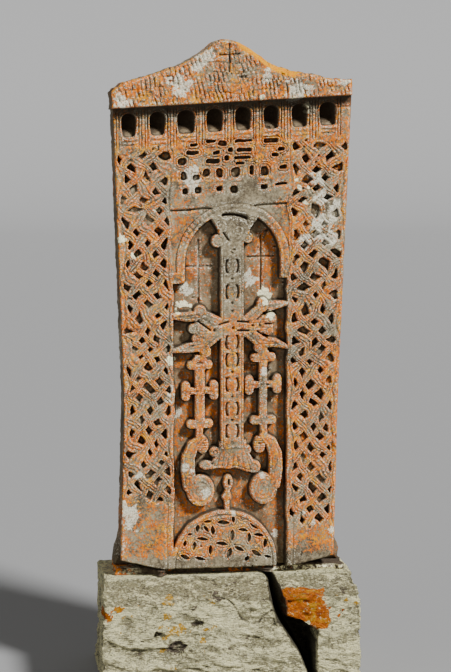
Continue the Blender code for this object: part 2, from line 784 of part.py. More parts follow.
def rough(x, y, z):
    """A repeatable unevenness of the broken faces, from -1 to 1."""
    layer = math.sin(34 * z + 3.1 * math.sin(6 * x + 1.7)) * math.cos(9 * x + 4 * z)
    swell = math.sin(11 * x + 2.3) * math.cos(13 * y + 0.8) + 0.6 * math.sin(19 * (x + z) + 5 * y)
    return max(-1.0, min(1.0, 0.45 * layer + 0.45 * swell))


def ease(t):
    t = max(0.0, min(1.0, t))
    return t * t * (3 - 2 * t)


def ledge_height(x, y):
    """Top of the base: level under the slab, and falling away in front of it and a little behind."""
    front_edge, back_edge = FRONT_Y - SEAT_FRONT_MARGIN, BACK_Y + SEAT_BACK_MARGIN
    front_fall = ease((front_edge - y) / (BASE_HALF_DEPTH + front_edge))
    back_fall = ease((y - back_edge) / (BASE_HALF_DEPTH - back_edge))
    wave = LEDGE_WAVE * math.sin(9 * x + 0.5) * front_fall
    return SEAT_HEIGHT - LEDGE_DROP * front_fall - 0.5 * LEDGE_DROP * back_fall + wave


def make_rock(name, x_low, x_high):
    """A rough block with worn arrises and a flat underside; its two sides are functions of y and z."""
    bm = bmesh.new()
    bmesh.ops.create_cube(bm, size=2.0)
    width = x_high(0, 0) - x_low(0, 0)
    for axis, span in ((0, width), (1, 2 * BASE_HALF_DEPTH), (2, SEAT_HEIGHT)):
        along = [e for e in bm.edges if abs(e.verts[0].co[axis] - e.verts[1].co[axis]) > 0.5]
        cuts = max(2, round(span / ROCK_CELL)) - 1
        bmesh.ops.subdivide_edges(bm, edges=along, cuts=cuts, use_grid_fill=True)
    for v in bm.verts:
        a, b, c = v.co
        standing = c > -0.99
        arris = max(0.0, abs(a * b) - 0.5) + max(0.0, abs(b) * c - 0.5)
        y = b * (BASE_HALF_DEPTH - ROCK_WEAR * arris * standing)
        z = (c + 1) / 2 * ledge_height(a * width / 2, y)
        low, high = x_low(y, z), x_high(y, z)
        uneven = ROCK_ROUGHNESS * (rough(a * width / 2, y, z) - 1) / 2
        y += b * abs(b) * uneven
        arris = max(0.0, abs(a * b) - 0.5) + max(0.0, abs(a) * c - 0.5)
        x = low + (high - low) * (a + 1) / 2 - a * abs(a) * (ROCK_WEAR * arris * standing - uneven)
        v.co = (x, y, z)
    return add_object(name, bm, PALE_ROCK)


def make_boulder():
    def left(y, z):
        return -BASE_HALF_WIDTH + LEFT_TAPER * ease((y + BASE_HALF_DEPTH) / BASE_HALF_DEPTH)

    def right(y, z):
        return crack_x(z) - CRACK_GAP / 2

    return make_rock("base_boulder", left, right)


def make_block():
    def left(y, z):
        return crack_x(z) + CRACK_GAP / 2

    def right(y, z):
        return BASE_HALF_WIDTH - RIGHT_TAPER * ease(-y / BASE_HALF_DEPTH)

    block = make_rock("base_block", left, right)
    top, lip, leg = CAVITY_HEIGHT, CRACK_FOOT_X + CAVITY_REACH, CRACK_FOOT_X + CAVITY_LEG_REACH
    cavity = [
        (CRACK_TOP_X, top),
        ((crack_x(top) + lip) / 2, top - CAVITY_LIP_DROP / 3),
        (lip, top - CAVITY_LIP_DROP),
        (leg, top - CAVITY_LIP_DROP * 1.2),
        (leg, -CUT_CLEAR),
        (CRACK_TOP_X, -CUT_CLEAR),
    ]
    front = -BASE_HALF_DEPTH
    tool = tool_object("cavity_cut", [(cavity, front - CUT_CLEAR, front + CAVITY_DEPTH)])
    boolean(block, tool, "DIFFERENCE")
    return block


def centre_on_origin():
    """Moves everything sideways so that the whole box is centred on the origin."""
    solids = [obj for obj in bpy.data.objects if not obj.hide_render]
    for axis in (0, 1):
        spread = [v.co[axis] for obj in solids for v in obj.data.vertices]
        middle = (min(spread) + max(spread)) / 2
        for obj in bpy.data.objects:
            for v in obj.data.vertices:
                v.co[axis] -= middle


def main():
    for obj in list(bpy.data.objects):
        bpy.data.objects.remove(obj)
    make_slab()
    make_bed()
    make_boulder()
    make_block()
    centre_on_origin()


main()
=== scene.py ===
"""Khachkar: a carved memorial slab, its mortar bed and its two rough base stones, with their finishes."""

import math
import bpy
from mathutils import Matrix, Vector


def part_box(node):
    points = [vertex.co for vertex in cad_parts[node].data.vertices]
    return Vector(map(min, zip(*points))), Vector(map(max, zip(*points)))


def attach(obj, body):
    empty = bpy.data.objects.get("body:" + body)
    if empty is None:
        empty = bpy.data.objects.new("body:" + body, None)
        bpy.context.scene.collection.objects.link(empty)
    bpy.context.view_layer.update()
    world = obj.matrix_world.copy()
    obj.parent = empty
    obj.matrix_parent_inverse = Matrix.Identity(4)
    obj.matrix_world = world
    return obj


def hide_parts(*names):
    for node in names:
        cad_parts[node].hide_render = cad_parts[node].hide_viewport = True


bl_info = {
    "name": "Khachkar",
    "version": (1, 0, 0),
    "blender": (4, 5, 0),
    "location": "View3D > Sidebar > Khachkar",
    "description": "Carves the slab with its borders and crosses, and finishes the mortar and the base",
    "category": "Object",
}

import bpy
import numpy as np
from bpy.props import FloatProperty, FloatVectorProperty, IntProperty, PointerProperty
from mathutils import Vector

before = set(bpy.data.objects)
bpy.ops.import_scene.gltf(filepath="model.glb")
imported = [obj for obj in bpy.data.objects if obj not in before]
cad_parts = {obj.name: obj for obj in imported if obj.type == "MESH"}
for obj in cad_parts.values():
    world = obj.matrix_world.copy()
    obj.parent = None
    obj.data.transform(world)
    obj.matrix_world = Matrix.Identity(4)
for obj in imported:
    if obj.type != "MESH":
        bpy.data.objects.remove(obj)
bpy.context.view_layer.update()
SLAB_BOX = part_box("carved_slab")


def millimetres(rows):
    """Rows of whole millimetres as rows of metres."""
    return [tuple(value / 1000 for value in row) for row in rows]


# Slab blank, in face coordinates: u across from the slab's axis, w up from its foot.
AXIS_X = 0.026
FOOT_Z = SLAB_BOX[0][2]
FACE_Y = -0.100
BACK_Y = 0.100
HEAD_HALF_WIDTH = 0.418
WAIST_HEIGHT = 0.600
WAIST_LEFT = 0.385
WAIST_RIGHT = 0.378
FOOT_LEFT = 0.403
FOOT_RIGHT = 0.366
FOOT_FLAT_LEFT = 0.250
FOOT_FLAT_RIGHT = 0.255
FOOT_BREAK_LEFT = 0.036
FOOT_BREAK_RIGHT = 0.024
CLIMB_SLOPE = 0.057
CLIMB_HEIGHT = 1.280
TANG_FRONT_Y = -0.020
TANG_SPREAD_LEFT = 0.034
TANG_SPREAD_RIGHT = 0.060
TANG_HEIGHT_LEFT = 0.110
TANG_HEIGHT_RIGHT = 0.135
TANG_SIDES = ((-1, TANG_SPREAD_LEFT, TANG_HEIGHT_LEFT), (1, TANG_SPREAD_RIGHT, TANG_HEIGHT_RIGHT))

# Cornice with its gable.
CORNICE_FOOT = 1.648
CORNICE_LEFT = -0.424
CORNICE_RIGHT = 0.414
GABLE = [
    (-0.424, 1.710), (-0.372, 1.740), (-0.302, 1.757), (-0.192, 1.786), (-0.102, 1.830), (-0.052, 1.864),
    (-0.015, 1.866), (0.047, 1.840), (0.088, 1.809), (0.132, 1.778), (0.172, 1.758), (0.227, 1.742),
    (0.277, 1.731), (0.337, 1.714), (0.414, 1.707),
]
GABLE_CROSS = (-0.017, 1.812)

# Arcade of blind niches.
NICHE_COUNT = 8
NICHE_PITCH = 0.0994
NICHE_WIDTH = 0.059
NICHE_HEIGHT = 0.083
NICHE_FOOT = 1.547
NICHE_CORNER = 0.012
NICHE_ROW_SHIFT = -0.014

# Plaited borders and the band between them.
PLAIT_COLUMNS = 4
PLAIT_STEP = 0.0365
PLAIT_UNIT = 0.0375
PLAIT_HEAD = 1.515
PLAIT_FOOT_LEFT = 0.255
PLAIT_FOOT_RIGHT = 0.150
PLAIT_OUTER_MARGIN = 0.028
PLAIT_INNER_MARGIN = 0.022
BAND_HEAD = 1.522
BAND_HALF_WIDTH = 0.205
BAND_FOOT = 1.425
BAND_HOLES = millimetres([
    (-78, 1518, 15, 5), (-37, 1509, 13, 9), (37, 1513, 30, 4), (133, 1508, 25, 7), (-138, 1509, 12, 4),
    (-10, 1486, 8, 8), (40, 1482, 25, 5), (169, 1478, 11, 5), (-141, 1482, 21, 6), (-59, 1478, 11, 5),
    (147, 1460, 11, 5), (-179, 1455, 14, 12), (34, 1457, 27, 4), (-71, 1449, 25, 7), (-23, 1457, 6, 8),
    (26, 1437, 14, 4), (-171, 1404, 9, 14), (-128, 1396, 13, 9), (-94, 1410, 12, 13), (-48, 1407, 11, 16),
    (10, 1406, 15, 17), (64, 1411, 6, 15), (111, 1405, 12, 16), (177, 1415, 14, 6), (-168, 1350, 8, 10),
    (-122, 1352, 10, 12), (-48, 1353, 10, 6), (4, 1347, 14, 12), (109, 1350, 10, 8), (170, 1356, 18, 3),
])

# Sunk panel and its arch.
PANEL_LEFT = 0.212
PANEL_RIGHT = 0.195
IMPOST_HEIGHT = 1.030
ARCH_CENTRE_W = 1.099
ARCH_RADIUS = 0.170
ARCH_BAND = 0.030
FRAME_LINE_W = 1.287

# Great cross. A leaf is a path with radii; a lobe is a place with its radius.
CROSS_CENTRE_W = 0.862
SHAFT_LEFT = 0.045
SHAFT_RIGHT = 0.040
SHAFT_FOOT = 0.430
SHAFT_HEAD = 1.190
LEAVES = [
    ([(-0.055, 0.880), (-0.110, 0.912), (-0.160, 0.908), (-0.208, 0.914)], [0.025, 0.021, 0.019, 0.013]),
    ([(-0.055, 0.848), (-0.105, 0.806), (-0.160, 0.797), (-0.210, 0.790)], [0.026, 0.023, 0.018, 0.009]),
    ([(0.055, 0.882), (0.100, 0.926), (0.150, 0.934), (0.192, 0.938)], [0.024, 0.019, 0.017, 0.010]),
    ([(0.055, 0.850), (0.098, 0.808), (0.150, 0.801), (0.193, 0.785)], [0.025, 0.022, 0.017, 0.009]),
]
LOBES = millimetres([
    (-116, 925, 24), (-140, 866, 19), (-124, 830, 22), (-97, 782, 22), (106, 942, 22), (136, 890, 21),
    (128, 846, 18), (94, 788, 20),
])
HEAD_LOBES = millimetres([(-53, 1171, 25), (53, 1176, 20)])
ARM_SLITS = [
    ((-0.124, 0.892), (-0.080, 0.858)), ((0.086, 0.888), (0.124, 0.918)), ((0.086, 0.846), (0.124, 0.820)),
    ((0.114, 0.870), (0.146, 0.868)), ((-0.048, 0.876), (-0.018, 0.884)), ((0.016, 0.884), (0.054, 0.880)),
    ((0.018, 0.852), (0.054, 0.850)),
]
ARM_DOTS = [(-0.066, 0.857), (0.070, 0.867), (0.0, 0.861)]
LINKS = [1.080, 0.989, 0.812, 0.749, 0.660, 0.574, 0.495]
LINK_DOTS = [1.128, 1.035, 0.950, 0.921, 0.705, 0.617, 0.534, 0.452]

# Two small crosses: axis, shaft half-width, and the height of the top, the arms and the foot.
SMALL_CROSSES = [(-0.1165, 0.019, 0.733, 0.643, 0.524), (0.1090, 0.016, 0.749, 0.655, 0.528)]
SMALL_BAR = 0.013
SMALL_REACH = 0.050
SMALL_LOBE = 0.0170

# Leaf scrolls, mound and pendant under the great cross.
SCROLL_U = 0.1125
SCROLL_W = 0.283
SCROLL_HALF_WIDTH = 0.051
SCROLL_HALF_HEIGHT = 0.058
STEM_PATH = [(0.150, 0.300), (0.157, 0.352), (0.156, 0.405), (0.140, 0.447), (0.110, 0.474)]
STEM_HALF_WIDTHS = [0.026, 0.026, 0.025, 0.022, 0.014]
BUDS = [(-0.107, 0.448, 0.023, 0.034), (0.096, 0.441, 0.023, 0.034)]
MOUND_W = 0.370

# Rosette at the foot.
ROSETTE_U = -0.030
ROSETTE_W = 0.020
ROSETTE_RADIUS = 0.192
ROSETTE_RIM = 0.022
PETALS = [
    (-0.127, 0.149, 0.016, 0.007, 90), (-0.096, 0.145, 0.014, 0.006, -50), (-0.072, 0.138, 0.018, 0.007, 90),
    (-0.034, 0.165, 0.022, 0.008, -5), (-0.090, 0.171, 0.015, 0.005, 5), (0.002, 0.175, 0.014, 0.006, 90),
    (0.033, 0.183, 0.015, 0.006, -45), (-0.002, 0.119, 0.021, 0.008, 85), (0.036, 0.136, 0.018, 0.007, -8),
    (0.078, 0.150, 0.021, 0.007, -32), (0.058, 0.108, 0.019, 0.007, 88), (0.092, 0.117, 0.019, 0.006, -10),
    (0.117, 0.089, 0.020, 0.007, 80), (-0.110, 0.109, 0.022, 0.006, -8), (-0.138, 0.084, 0.017, 0.007, 85),
    (-0.040, 0.089, 0.022, 0.007, -10), (-0.080, 0.068, 0.019, 0.007, 88), (0.022, 0.070, 0.020, 0.007, -25),
    (-0.013, 0.054, 0.021, 0.009, 72), (0.084, 0.051, 0.021, 0.008, -32), (-0.172, 0.095, 0.013, 0.006, 75),
    (-0.172, 0.045, 0.017, 0.008, -22), (-0.118, 0.037, 0.021, 0.006, -14), (0.050, 0.032, 0.012, 0.008, 70),
    (0.126, 0.037, 0.014, 0.005, -12), (0.140, 0.066, 0.012, 0.006, -60), (-0.155, 0.127, 0.012, 0.004, 5),
]

# Incised crosses on the panel's floor: centre, rise, fall and half-span.
INCISED_CROSSES = [(-0.118, 1.084, 0.090, 0.130, 0.046), (0.103, 1.106, 0.072, 0.118, 0.046)]

# Lichen patches on the slab: place on the face and half-sizes.
PALE_PATCHES = millimetres([
    (-375, 1667, 39, 25), (-189, 1728, 39, 46), (-99, 1807, 35, 32), (109, 1735, 18, 35), (221, 1678, 42, 35),
    (385, 1696, 21, 11), (-134, 1779, 21, 18), (-134, 1382, 21, 56), (-155, 1404, 18, 35),
    (299, 1369, 35, 28), (314, 1301, 28, 28), (307, 1205, 35, 56), (347, 1151, 28, 35), (254, 1156, 18, 28),
    (357, 1247, 21, 35), (-363, 200, 32, 46), (-391, 245, 18, 18), (-175, 370, 18, 18), (-146, 355, 14, 11),
    (-93, 273, 18, 18), (107, 333, 14, 14), (3, 200, 14, 11), (155, 115, 11, 21), (384, 89, 14, 14),
    (351, 126, 14, 18), (292, 157, 11, 11), (256, 194, 11, 11), (110, 708, 11, 21), (-223, 635, 21, 28),
    (-188, 567, 20, 28), (67, 1028, 28, 32), (-163, 1006, 25, 28), (-331, 351, 14, 14), (386, 250, 18, 28),
])
CREAM_PATCHES = millimetres([
    (-166, 953, 28, 21), (116, 969, 25, 32), (134, 897, 14, 21), (-191, 926, 11, 7), (-216, 760, 18, 14),
    (257, 1284, 18, 11), (236, 1338, 11, 11), (-263, 1293, 11, 7), (-392, 1196, 18, 14), (225, 1366, 7, 7),
    (267, 1336, 7, 7), (95, 1661, 11, 14), (210, 1651, 11, 7), (262, 1624, 11, 7), (262, 1600, 7, 7),
    (-344, 1136, 14, 11), (379, 1114, 11, 11),
])

# Base stones: the cavity's upper right corner, the slanting crack, and how far they swell before weathering.
CAVITY_TOP = 0.300
CAVITY_X = 0.304
CRACK_TOP_X = 0.157
CRACK_FOOT_X = 0.285
CRACK_START = 0.10
CRACK_END = 0.90
CRACK_BEND = 0.018
CRACK_CLOSING = 0.003
SWELL = 0.006
BEDDING_PITCH = 0.078
FRONT_Y = -0.20
ORANGE_COAT = (0.254, 0.330)
ORANGE_COAT_HALF = (0.094, 0.090)

# Spots on the fronts of the base stones: place and half-sizes.
ROCK_HOLES = millimetres([(-128, 268, 18, 12), (-257, 235, 15, 11), (-195, 186, 22, 18)])
ROCK_BARE = millimetres([
    (-56, 361, 20, 17), (-131, 332, 36, 13), (-195, 188, 26, 26), (-128, 271, 20, 15), (-257, 237, 15, 13),
    (-259, 376, 26, 8), (43, 355, 15, 6), (-8, 176, 20, 6), (43, 217, 12, 9), (398, 366, 14, 14),
])
MUSTARD = millimetres([
    (-223, 350, 34, 11), (-80, 352, 16, 18), (-225, 299, 16, 13), (-193, 253, 38, 20), (-77, 255, 20, 12),
    (-107, 207, 14, 9), (-245, 176, 14, 9), (-256, 263, 12, 6), (-381, 303, 8, 5), (-236, 224, 13, 8),
    (370, 350, 8, 13), (436, 325, 9, 8), (404, 340, 8, 12),
])
ORANGE_SPOTS = millimetres([(-443, 311, 22, 22), (-392, 332, 18, 11), (389, 302, 12, 8)])

# Fine measures of the chisel work.
STRAND_HALF = 0.0130
RIB_GROOVE = 0.0036
RIB_GROOVE_HALF = 0.0019
WALL_RUN = 0.0042
TOOTH_RANK = 0.034
COIL_PITCH = 0.0120
SCROLL_PITCH = 0.0125
BUD_PITCH = 0.0085
MOUND_FOLDS = (-3, -2, -1, 0, 1, 2, 3)

# The slab's mesh: carved cells per back cell, rings round the sides, and reach of the blurs for its masks.
COARSEN = 4
SIDE_RINGS = 14
FACE_WIDTH = 0.84
FACE_HEIGHT = 1.866
NEAR_REACH = 0.009
FAR_REACH = 0.030
CLOSE_REACH = 0.005
TANG_CLEARANCE = 0.0008
TANG_START_U = 0.30

# Stage.
KEY_PLACE = (2.7, -3.3, 4.7)
KEY_ANGLE = math.radians(9.0)
FILL_PLACE = (-3.8, -4.2, 2.2)
FILL_SIZE = 3.0
SKY_COLOUR = (0.86, 0.85, 0.83, 1.0)
SENSOR_HEIGHT = 36.0
AIM_X = -0.001
FLOOR_REACH = 34.0
FLOOR_HALF_WIDTH = 40.0
WALL_HEIGHT = 24.0
SWEEP = 10.0
SWEEP_STEPS = 24


# Shaping functions.


def soft(t):
    """A smooth step from 0 at 0 to 1 at 1."""
    t = np.clip(t, 0.0, 1.0)
    return t * t * (3 - 2 * t)


NOISE_TILE = 128
NOISE_GRID = np.random.default_rng(11).random((NOISE_TILE, NOISE_TILE)) * 2 - 1


def noise(x, y, size, layer=0):
    """Smooth unevenness from -1 to 1 with lumps of the given size; each layer is another pattern."""
    x, y = x / size + 41.7 * layer + 300, y / size + 23.3 * layer + 300
    i, j = np.floor(x).astype(int), np.floor(y).astype(int)
    fx, fy = soft(x - i), soft(y - j)
    i0, j0, i1, j1 = i % NOISE_TILE, j % NOISE_TILE, (i + 1) % NOISE_TILE, (j + 1) % NOISE_TILE
    low = NOISE_GRID[j0, i0] * (1 - fx) + NOISE_GRID[j0, i1] * fx
    high = NOISE_GRID[j1, i0] * (1 - fx) + NOISE_GRID[j1, i1] * fx
    return low * (1 - fy) + high * fy


def rubble(x, y, size, layer=0):
    """Noise of four octaves."""
    return sum(noise(x, y, size / 2 ** k, layer + k) / 2 ** k for k in range(4)) / 1.6


def groove(distance, half):
    """1 on the line and 0 beyond about twice the half-width."""
    return np.exp(-((distance / half) ** 2))


def ellipse_in(u, w, cu, cw, ru, rw):
    """Distance inside an ellipse, roughly in metres; negative outside."""
    return (1 - np.hypot((u - cu) / ru, (w - cw) / rw)) * min(ru, rw)


def box_in(u, w, u0, w0, u1, w1):
    """Distance inside a rectangle between two corners."""
    return np.minimum(np.minimum(u - u0, u1 - u), np.minimum(w - w0, w1 - w))


def limb_in(u, w, a, b, ra, rb):
    """Distance inside a tapering limb with round ends."""
    du, dw = b[0] - a[0], b[1] - a[1]
    t = np.clip(((u - a[0]) * du + (w - a[1]) * dw) / (du * du + dw * dw), 0, 1)
    return ra + (rb - ra) * t - np.hypot(u - a[0] - t * du, w - a[1] - t * dw)


def chain_in(u, w, path, radii):
    """Distance inside a chain of tapering limbs."""
    return np.maximum.reduce([limb_in(u, w, *pair) for pair in zip(path, path[1:], radii, radii[1:])])


def slot_in(u, w, cu, cw, ru, rw):
    """Distance inside a slot with rounded corners."""
    corner = 0.8 * min(ru, rw)
    du, dw = np.abs(u - cu) - ru + corner, np.abs(w - cw) - rw + corner
    return corner - np.hypot(np.maximum(du, 0), np.maximum(dw, 0)) - np.minimum(np.maximum(du, dw), 0)


def petal_in(u, w, cu, cw, half_length, half_width, degrees):
    """Distance inside a leaf-shaped opening."""
    c, s = math.cos(math.radians(degrees)), math.sin(math.radians(degrees))
    along, across = np.abs((u - cu) * c + (w - cw) * s), np.abs((w - cw) * c - (u - cu) * s)
    beyond = -np.hypot(along - half_length, across)
    return np.where(along < half_length, half_width * (1 - (along / half_length) ** 2) - across, beyond)


def stroke(value, pitch):
    """Distance from the nearest of the lines that repeat at every pitch."""
    return np.abs(np.mod(value, 1) - 0.5) * pitch


def nearest_two(shapes):
    """The distance inside the nearest shape and inside the second nearest one."""
    first = second = -1.0
    for shape in shapes:
        second = np.maximum(second, np.minimum(first, shape))
        first = np.maximum(first, shape)
    return first, second


def line_gap(u, w, a, b):
    """Distance from a straight line between two points."""
    return -limb_in(u, w, a, b, 0.0, 0.0)


# The slab's blank.


def climb(w):
    """How steeply the carved rows climb to the right at a height."""
    return CLIMB_SLOPE * np.clip(w / CLIMB_HEIGHT, 0, 1)


def half_width(w, waist, foot):
    """Half the slab's width between its foot and the cornice, on one side."""
    below = foot + (waist - foot) * w / WAIST_HEIGHT
    above = waist + (HEAD_HALF_WIDTH - waist) * (w - WAIST_HEIGHT) / (CORNICE_FOOT - WAIST_HEIGHT)
    return np.where(w < WAIST_HEIGHT, below, above)


def left_limit(w):
    """The face's left edge at a height."""
    return np.where(w < CORNICE_FOOT, -half_width(w, WAIST_LEFT, FOOT_LEFT), CORNICE_LEFT)


def right_limit(w):
    """The face's right edge at a height."""
    return np.where(w < CORNICE_FOOT, half_width(w, WAIST_RIGHT, FOOT_RIGHT), CORNICE_RIGHT)


def spline(p, q, r, s, t):
    """Value at the share t between q and r on a smooth curve through four values."""
    return 0.5 * (
        2 * q + (r - p) * t + (2 * p - 5 * q + 4 * r - s) * t * t + (3 * q - p - 3 * r + s) * t ** 3
    )


def gable_curve(steps=3):
    """Points of the gable's outline, on the same smooth curve as the solid's."""
    padded = [GABLE[0], *GABLE, GABLE[-1]]
    curve = []
    for a, b, c, d in zip(padded, padded[1:], padded[2:], padded[3:]):
        for i in range(steps):
            curve.append([spline(*four, i / steps) for four in zip(a, b, c, d)])
    return np.array([*curve, GABLE[-1]])


GABLE_LINE = gable_curve()


def gable_top(u):
    """Height of the gable's outline."""
    return np.interp(u, GABLE_LINE[:, 0], GABLE_LINE[:, 1])


def foot_line(u):
    """Height of the front's broken lower edge."""
    left = (-FOOT_FLAT_LEFT - u) / (FOOT_LEFT - FOOT_FLAT_LEFT) * FOOT_BREAK_LEFT
    right = (u - FOOT_FLAT_RIGHT) / (FOOT_RIGHT - FOOT_FLAT_RIGHT) * FOOT_BREAK_RIGHT
    return np.maximum(0.0, np.maximum(left, right))


# The carving: every function gives heights over the slab's face in metres, cut-in places below zero.


def plait(p, q, unit_u, unit_w, half, pit):
    """A four-strand plait: p counts columns, q counts rows, and each strand has three ribs."""
    spread = unit_u * unit_w / math.hypot(unit_u, unit_w)
    run = math.hypot(unit_u, unit_w) / 2
    down, up = p - q, p + q
    i, j = np.round(down / 2), np.round(up / 2)
    down_over = (i + j) % 2 == 0
    runs = ((down - 2 * i, up - 2 * j, down_over), (up - 2 * j, down - 2 * i, ~down_over))
    height = []
    for across, along, over in runs:
        d = np.abs(across) * spread
        near = groove(along * run, 1.25 * half)
        top = np.where(over, 0.0, -0.0045 * near) - 0.0025 * np.clip(d / half, 0, 1) ** 4
        ribs = groove(d - 0.36 * half, RIB_GROOVE_HALF) * RIB_GROOVE
        height.append(np.where(d < half, top - ribs, top - pit * soft((d - half) / WALL_RUN)))
    return np.maximum(*height)


def border(u, w, side, pit):
    """Height of one plaited border and how far inside it each point is."""
    wavy_u = u + 0.0130 * noise(u, w, 0.060, 2) + 0.0050 * noise(u, w, 0.024, 3)
    wavy_w = w + 0.0140 * noise(u, w, 0.065, 4) + 0.0050 * noise(u, w, 0.024, 5)
    if side < 0:
        outer = -half_width(w, WAIST_LEFT, FOOT_LEFT) + PLAIT_OUTER_MARGIN
        inner, foot = -PANEL_LEFT - PLAIT_INNER_MARGIN, PLAIT_FOOT_LEFT
    else:
        outer = half_width(w, WAIST_RIGHT, FOOT_RIGHT) - PLAIT_OUTER_MARGIN
        inner, foot = PANEL_RIGHT + PLAIT_INNER_MARGIN, PLAIT_FOOT_RIGHT
    step = (inner - outer) / PLAIT_COLUMNS
    p = (wavy_u - outer) / step
    q = (PLAIT_HEAD - wavy_w) / PLAIT_UNIT
    half = STRAND_HALF * (1 + 0.24 * noise(u, w, 0.035, 6))
    depth = pit * (0.82 + 0.50 * noise(u, w, 0.050, 7))
    height = plait(p, q, PLAIT_STEP, PLAIT_UNIT, half, depth)
    edge = np.minimum(p, PLAIT_COLUMNS - p)
    height = np.where(edge < -0.18, np.maximum(height, -0.0015), height)
    height -= 0.0035 * groove((edge + 0.42) * PLAIT_STEP, 0.0022)
    head = PLAIT_HEAD - 0.010 + 0.012 * noise(u, w, 0.05, 8)
    base = foot + 0.020 * noise(u, w, 0.06, 9)
    inside = soft((edge + 0.62) / 0.1) * soft((w - base) / 0.02) * soft((head - w) / 0.012)
    return height, inside


def band(u, w, pit):
    """Worn ties over the arch: slots and rounder pits with ribs that run between them."""
    ragged_u = u + 0.0030 * noise(u, w, 0.022, 12)
    ragged_w = w + 0.0022 * noise(u, w, 0.018, 14)
    first, second = nearest_two(slot_in(ragged_u, ragged_w, *hole) for hole in BAND_HOLES)
    near = soft((first + 0.026) / 0.010)
    first = first + 0.0018
    height = -0.0052 * groove(first - second, 0.0034) * near * (first < -0.002)
    height -= 0.0052 * groove(first + 0.0060, 0.0021) * soft((w - BAND_FOOT + 0.045) / 0.02)
    height -= 0.0044 * groove(first + 0.0130, 0.0020) * soft((w - BAND_FOOT + 0.010) / 0.02)
    height -= 0.0012 * (1 - near)
    height = np.where(first > -0.001, -0.85 * pit * soft((first + 0.001) / 0.0035), height)
    sides = soft((BAND_HALF_WIDTH - np.abs(u + 0.004)) / 0.010)
    return height, sides * soft((w - FRAME_LINE_W - 0.02) / 0.02) * soft((BAND_HEAD + 0.01 - w) / 0.01)


def arcade(u, w, depth):
    """Niches between ribbed pillars that run down into the plait."""
    k = (u - NICHE_ROW_SHIFT) / NICHE_PITCH
    n = np.clip(np.round(k - 0.5), -NICHE_COUNT / 2, NICHE_COUNT / 2 - 1)
    du = (k - 0.5 - n) * NICHE_PITCH
    waist = 0.0035 * noise(n * 0.3 + 0 * u, 0 * w, 0.2, 20)
    half = NICHE_WIDTH / 2 + waist - 0.004 * soft((NICHE_FOOT + 0.050 - w) / 0.05)
    spring = NICHE_FOOT + NICHE_HEIGHT - 0.022
    arch = 1 - np.hypot(du / half, np.maximum(w - spring, 0) / 0.024)
    a, b = arch * half, w - NICHE_FOOT
    corner = NICHE_CORNER - np.hypot(np.maximum(NICHE_CORNER - a, 0), np.maximum(NICHE_CORNER - b, 0))
    inside = np.minimum.reduce([a, b, corner])
    height = -depth * soft(inside / 0.005) * (0.30 + 0.70 * soft((w - NICHE_FOOT) / 0.040))
    height -= 0.004 * groove(inside + 0.006, 0.0022) * soft((w - NICHE_FOOT) / 0.01)
    pillar = NICHE_PITCH / 2 - np.abs(du)
    shaft = soft((w - 1.500) / 0.015) * soft((CORNICE_FOOT - w) / 0.01)
    ribs = groove(pillar - 0.0060, 0.0018) + 0.9 * groove(pillar - 0.0150, 0.0018)
    height -= 0.0055 * ribs * shaft * (inside < 0)
    sill = groove(w - NICHE_FOOT + 0.012 + 0.004 * noise(u, w, 0.06, 21), 0.0022)
    sill += groove(w - NICHE_FOOT + 0.026 + 0.004 * noise(u, w, 0.06, 22), 0.0020)
    height -= 0.0035 * sill * soft((pillar - 0.020) / 0.006)
    capital = groove(w - 1.612, 0.003) * soft((0.019 - pillar) / 0.004)
    return height - 0.004 * capital


def cornice(u, w, proud):
    """The gabled cornice: toothed with upright chisel strokes, worn round along its top."""
    top = gable_top(u)
    lean = u + 0.22 * (w - CORNICE_FOOT) + 0.004 * noise(u, w, 0.05, 30)
    ranks = (w - CORNICE_FOOT + 0.010 * noise(u, 0 * w, 0.05, 31)) / TOOTH_RANK
    rank = np.floor(ranks)
    pitch = 0.0150 * (1 + 0.1 * noise(rank * 0.7 + 0 * u, 0 * w, 1.0, 32))
    across = stroke(lean / pitch + 0.37 * rank, pitch)
    strong = soft(0.60 + 0.9 * noise(u, w, 0.020, 34))
    height = proud - 0.0060 * groove(across, 0.0022) * strong
    between = stroke(ranks, TOOTH_RANK)
    height -= 0.0030 * groove(TOOTH_RANK / 2 - between, 0.0025) * soft(0.5 + noise(u, w, 0.03, 35))
    height += 0.0034 * rubble(u, w, 0.016, 33)
    right_slope = soft((u - 0.01) / 0.03) * soft((0.25 - u) / 0.05)
    bevel = 0.016 + 0.014 * right_slope
    height -= (0.010 + 0.016 * right_slope) * np.clip(1 - (top - w) / bevel, 0, 1) ** 1.6
    cu, cw = GABLE_CROSS
    cross = np.minimum(
        line_gap(u, w, (cu, cw - 0.058), (cu, cw + 0.036)), line_gap(u, w, (cu - 0.034, cw), (cu + 0.034, cw))
    )
    return height - 0.0075 * groove(cross, 0.0030)


def leaf_lines(inside, pitch, depth):
    """Lines that follow a form's outline."""
    return depth * groove(np.mod(inside, pitch) - pitch / 2, 0.0016) * (inside > pitch * 0.3)


def standing(inside, floor, top, round_off=0.007):
    """A form that stands on the panel's floor: steep walls and rounded arrises."""
    crown = top - 0.0045 * np.clip(1 - inside / round_off, 0, 1) ** 2
    return np.where(inside > -WALL_RUN * 0.3, floor + (crown - floor) * soft(inside / WALL_RUN + 0.3), floor)


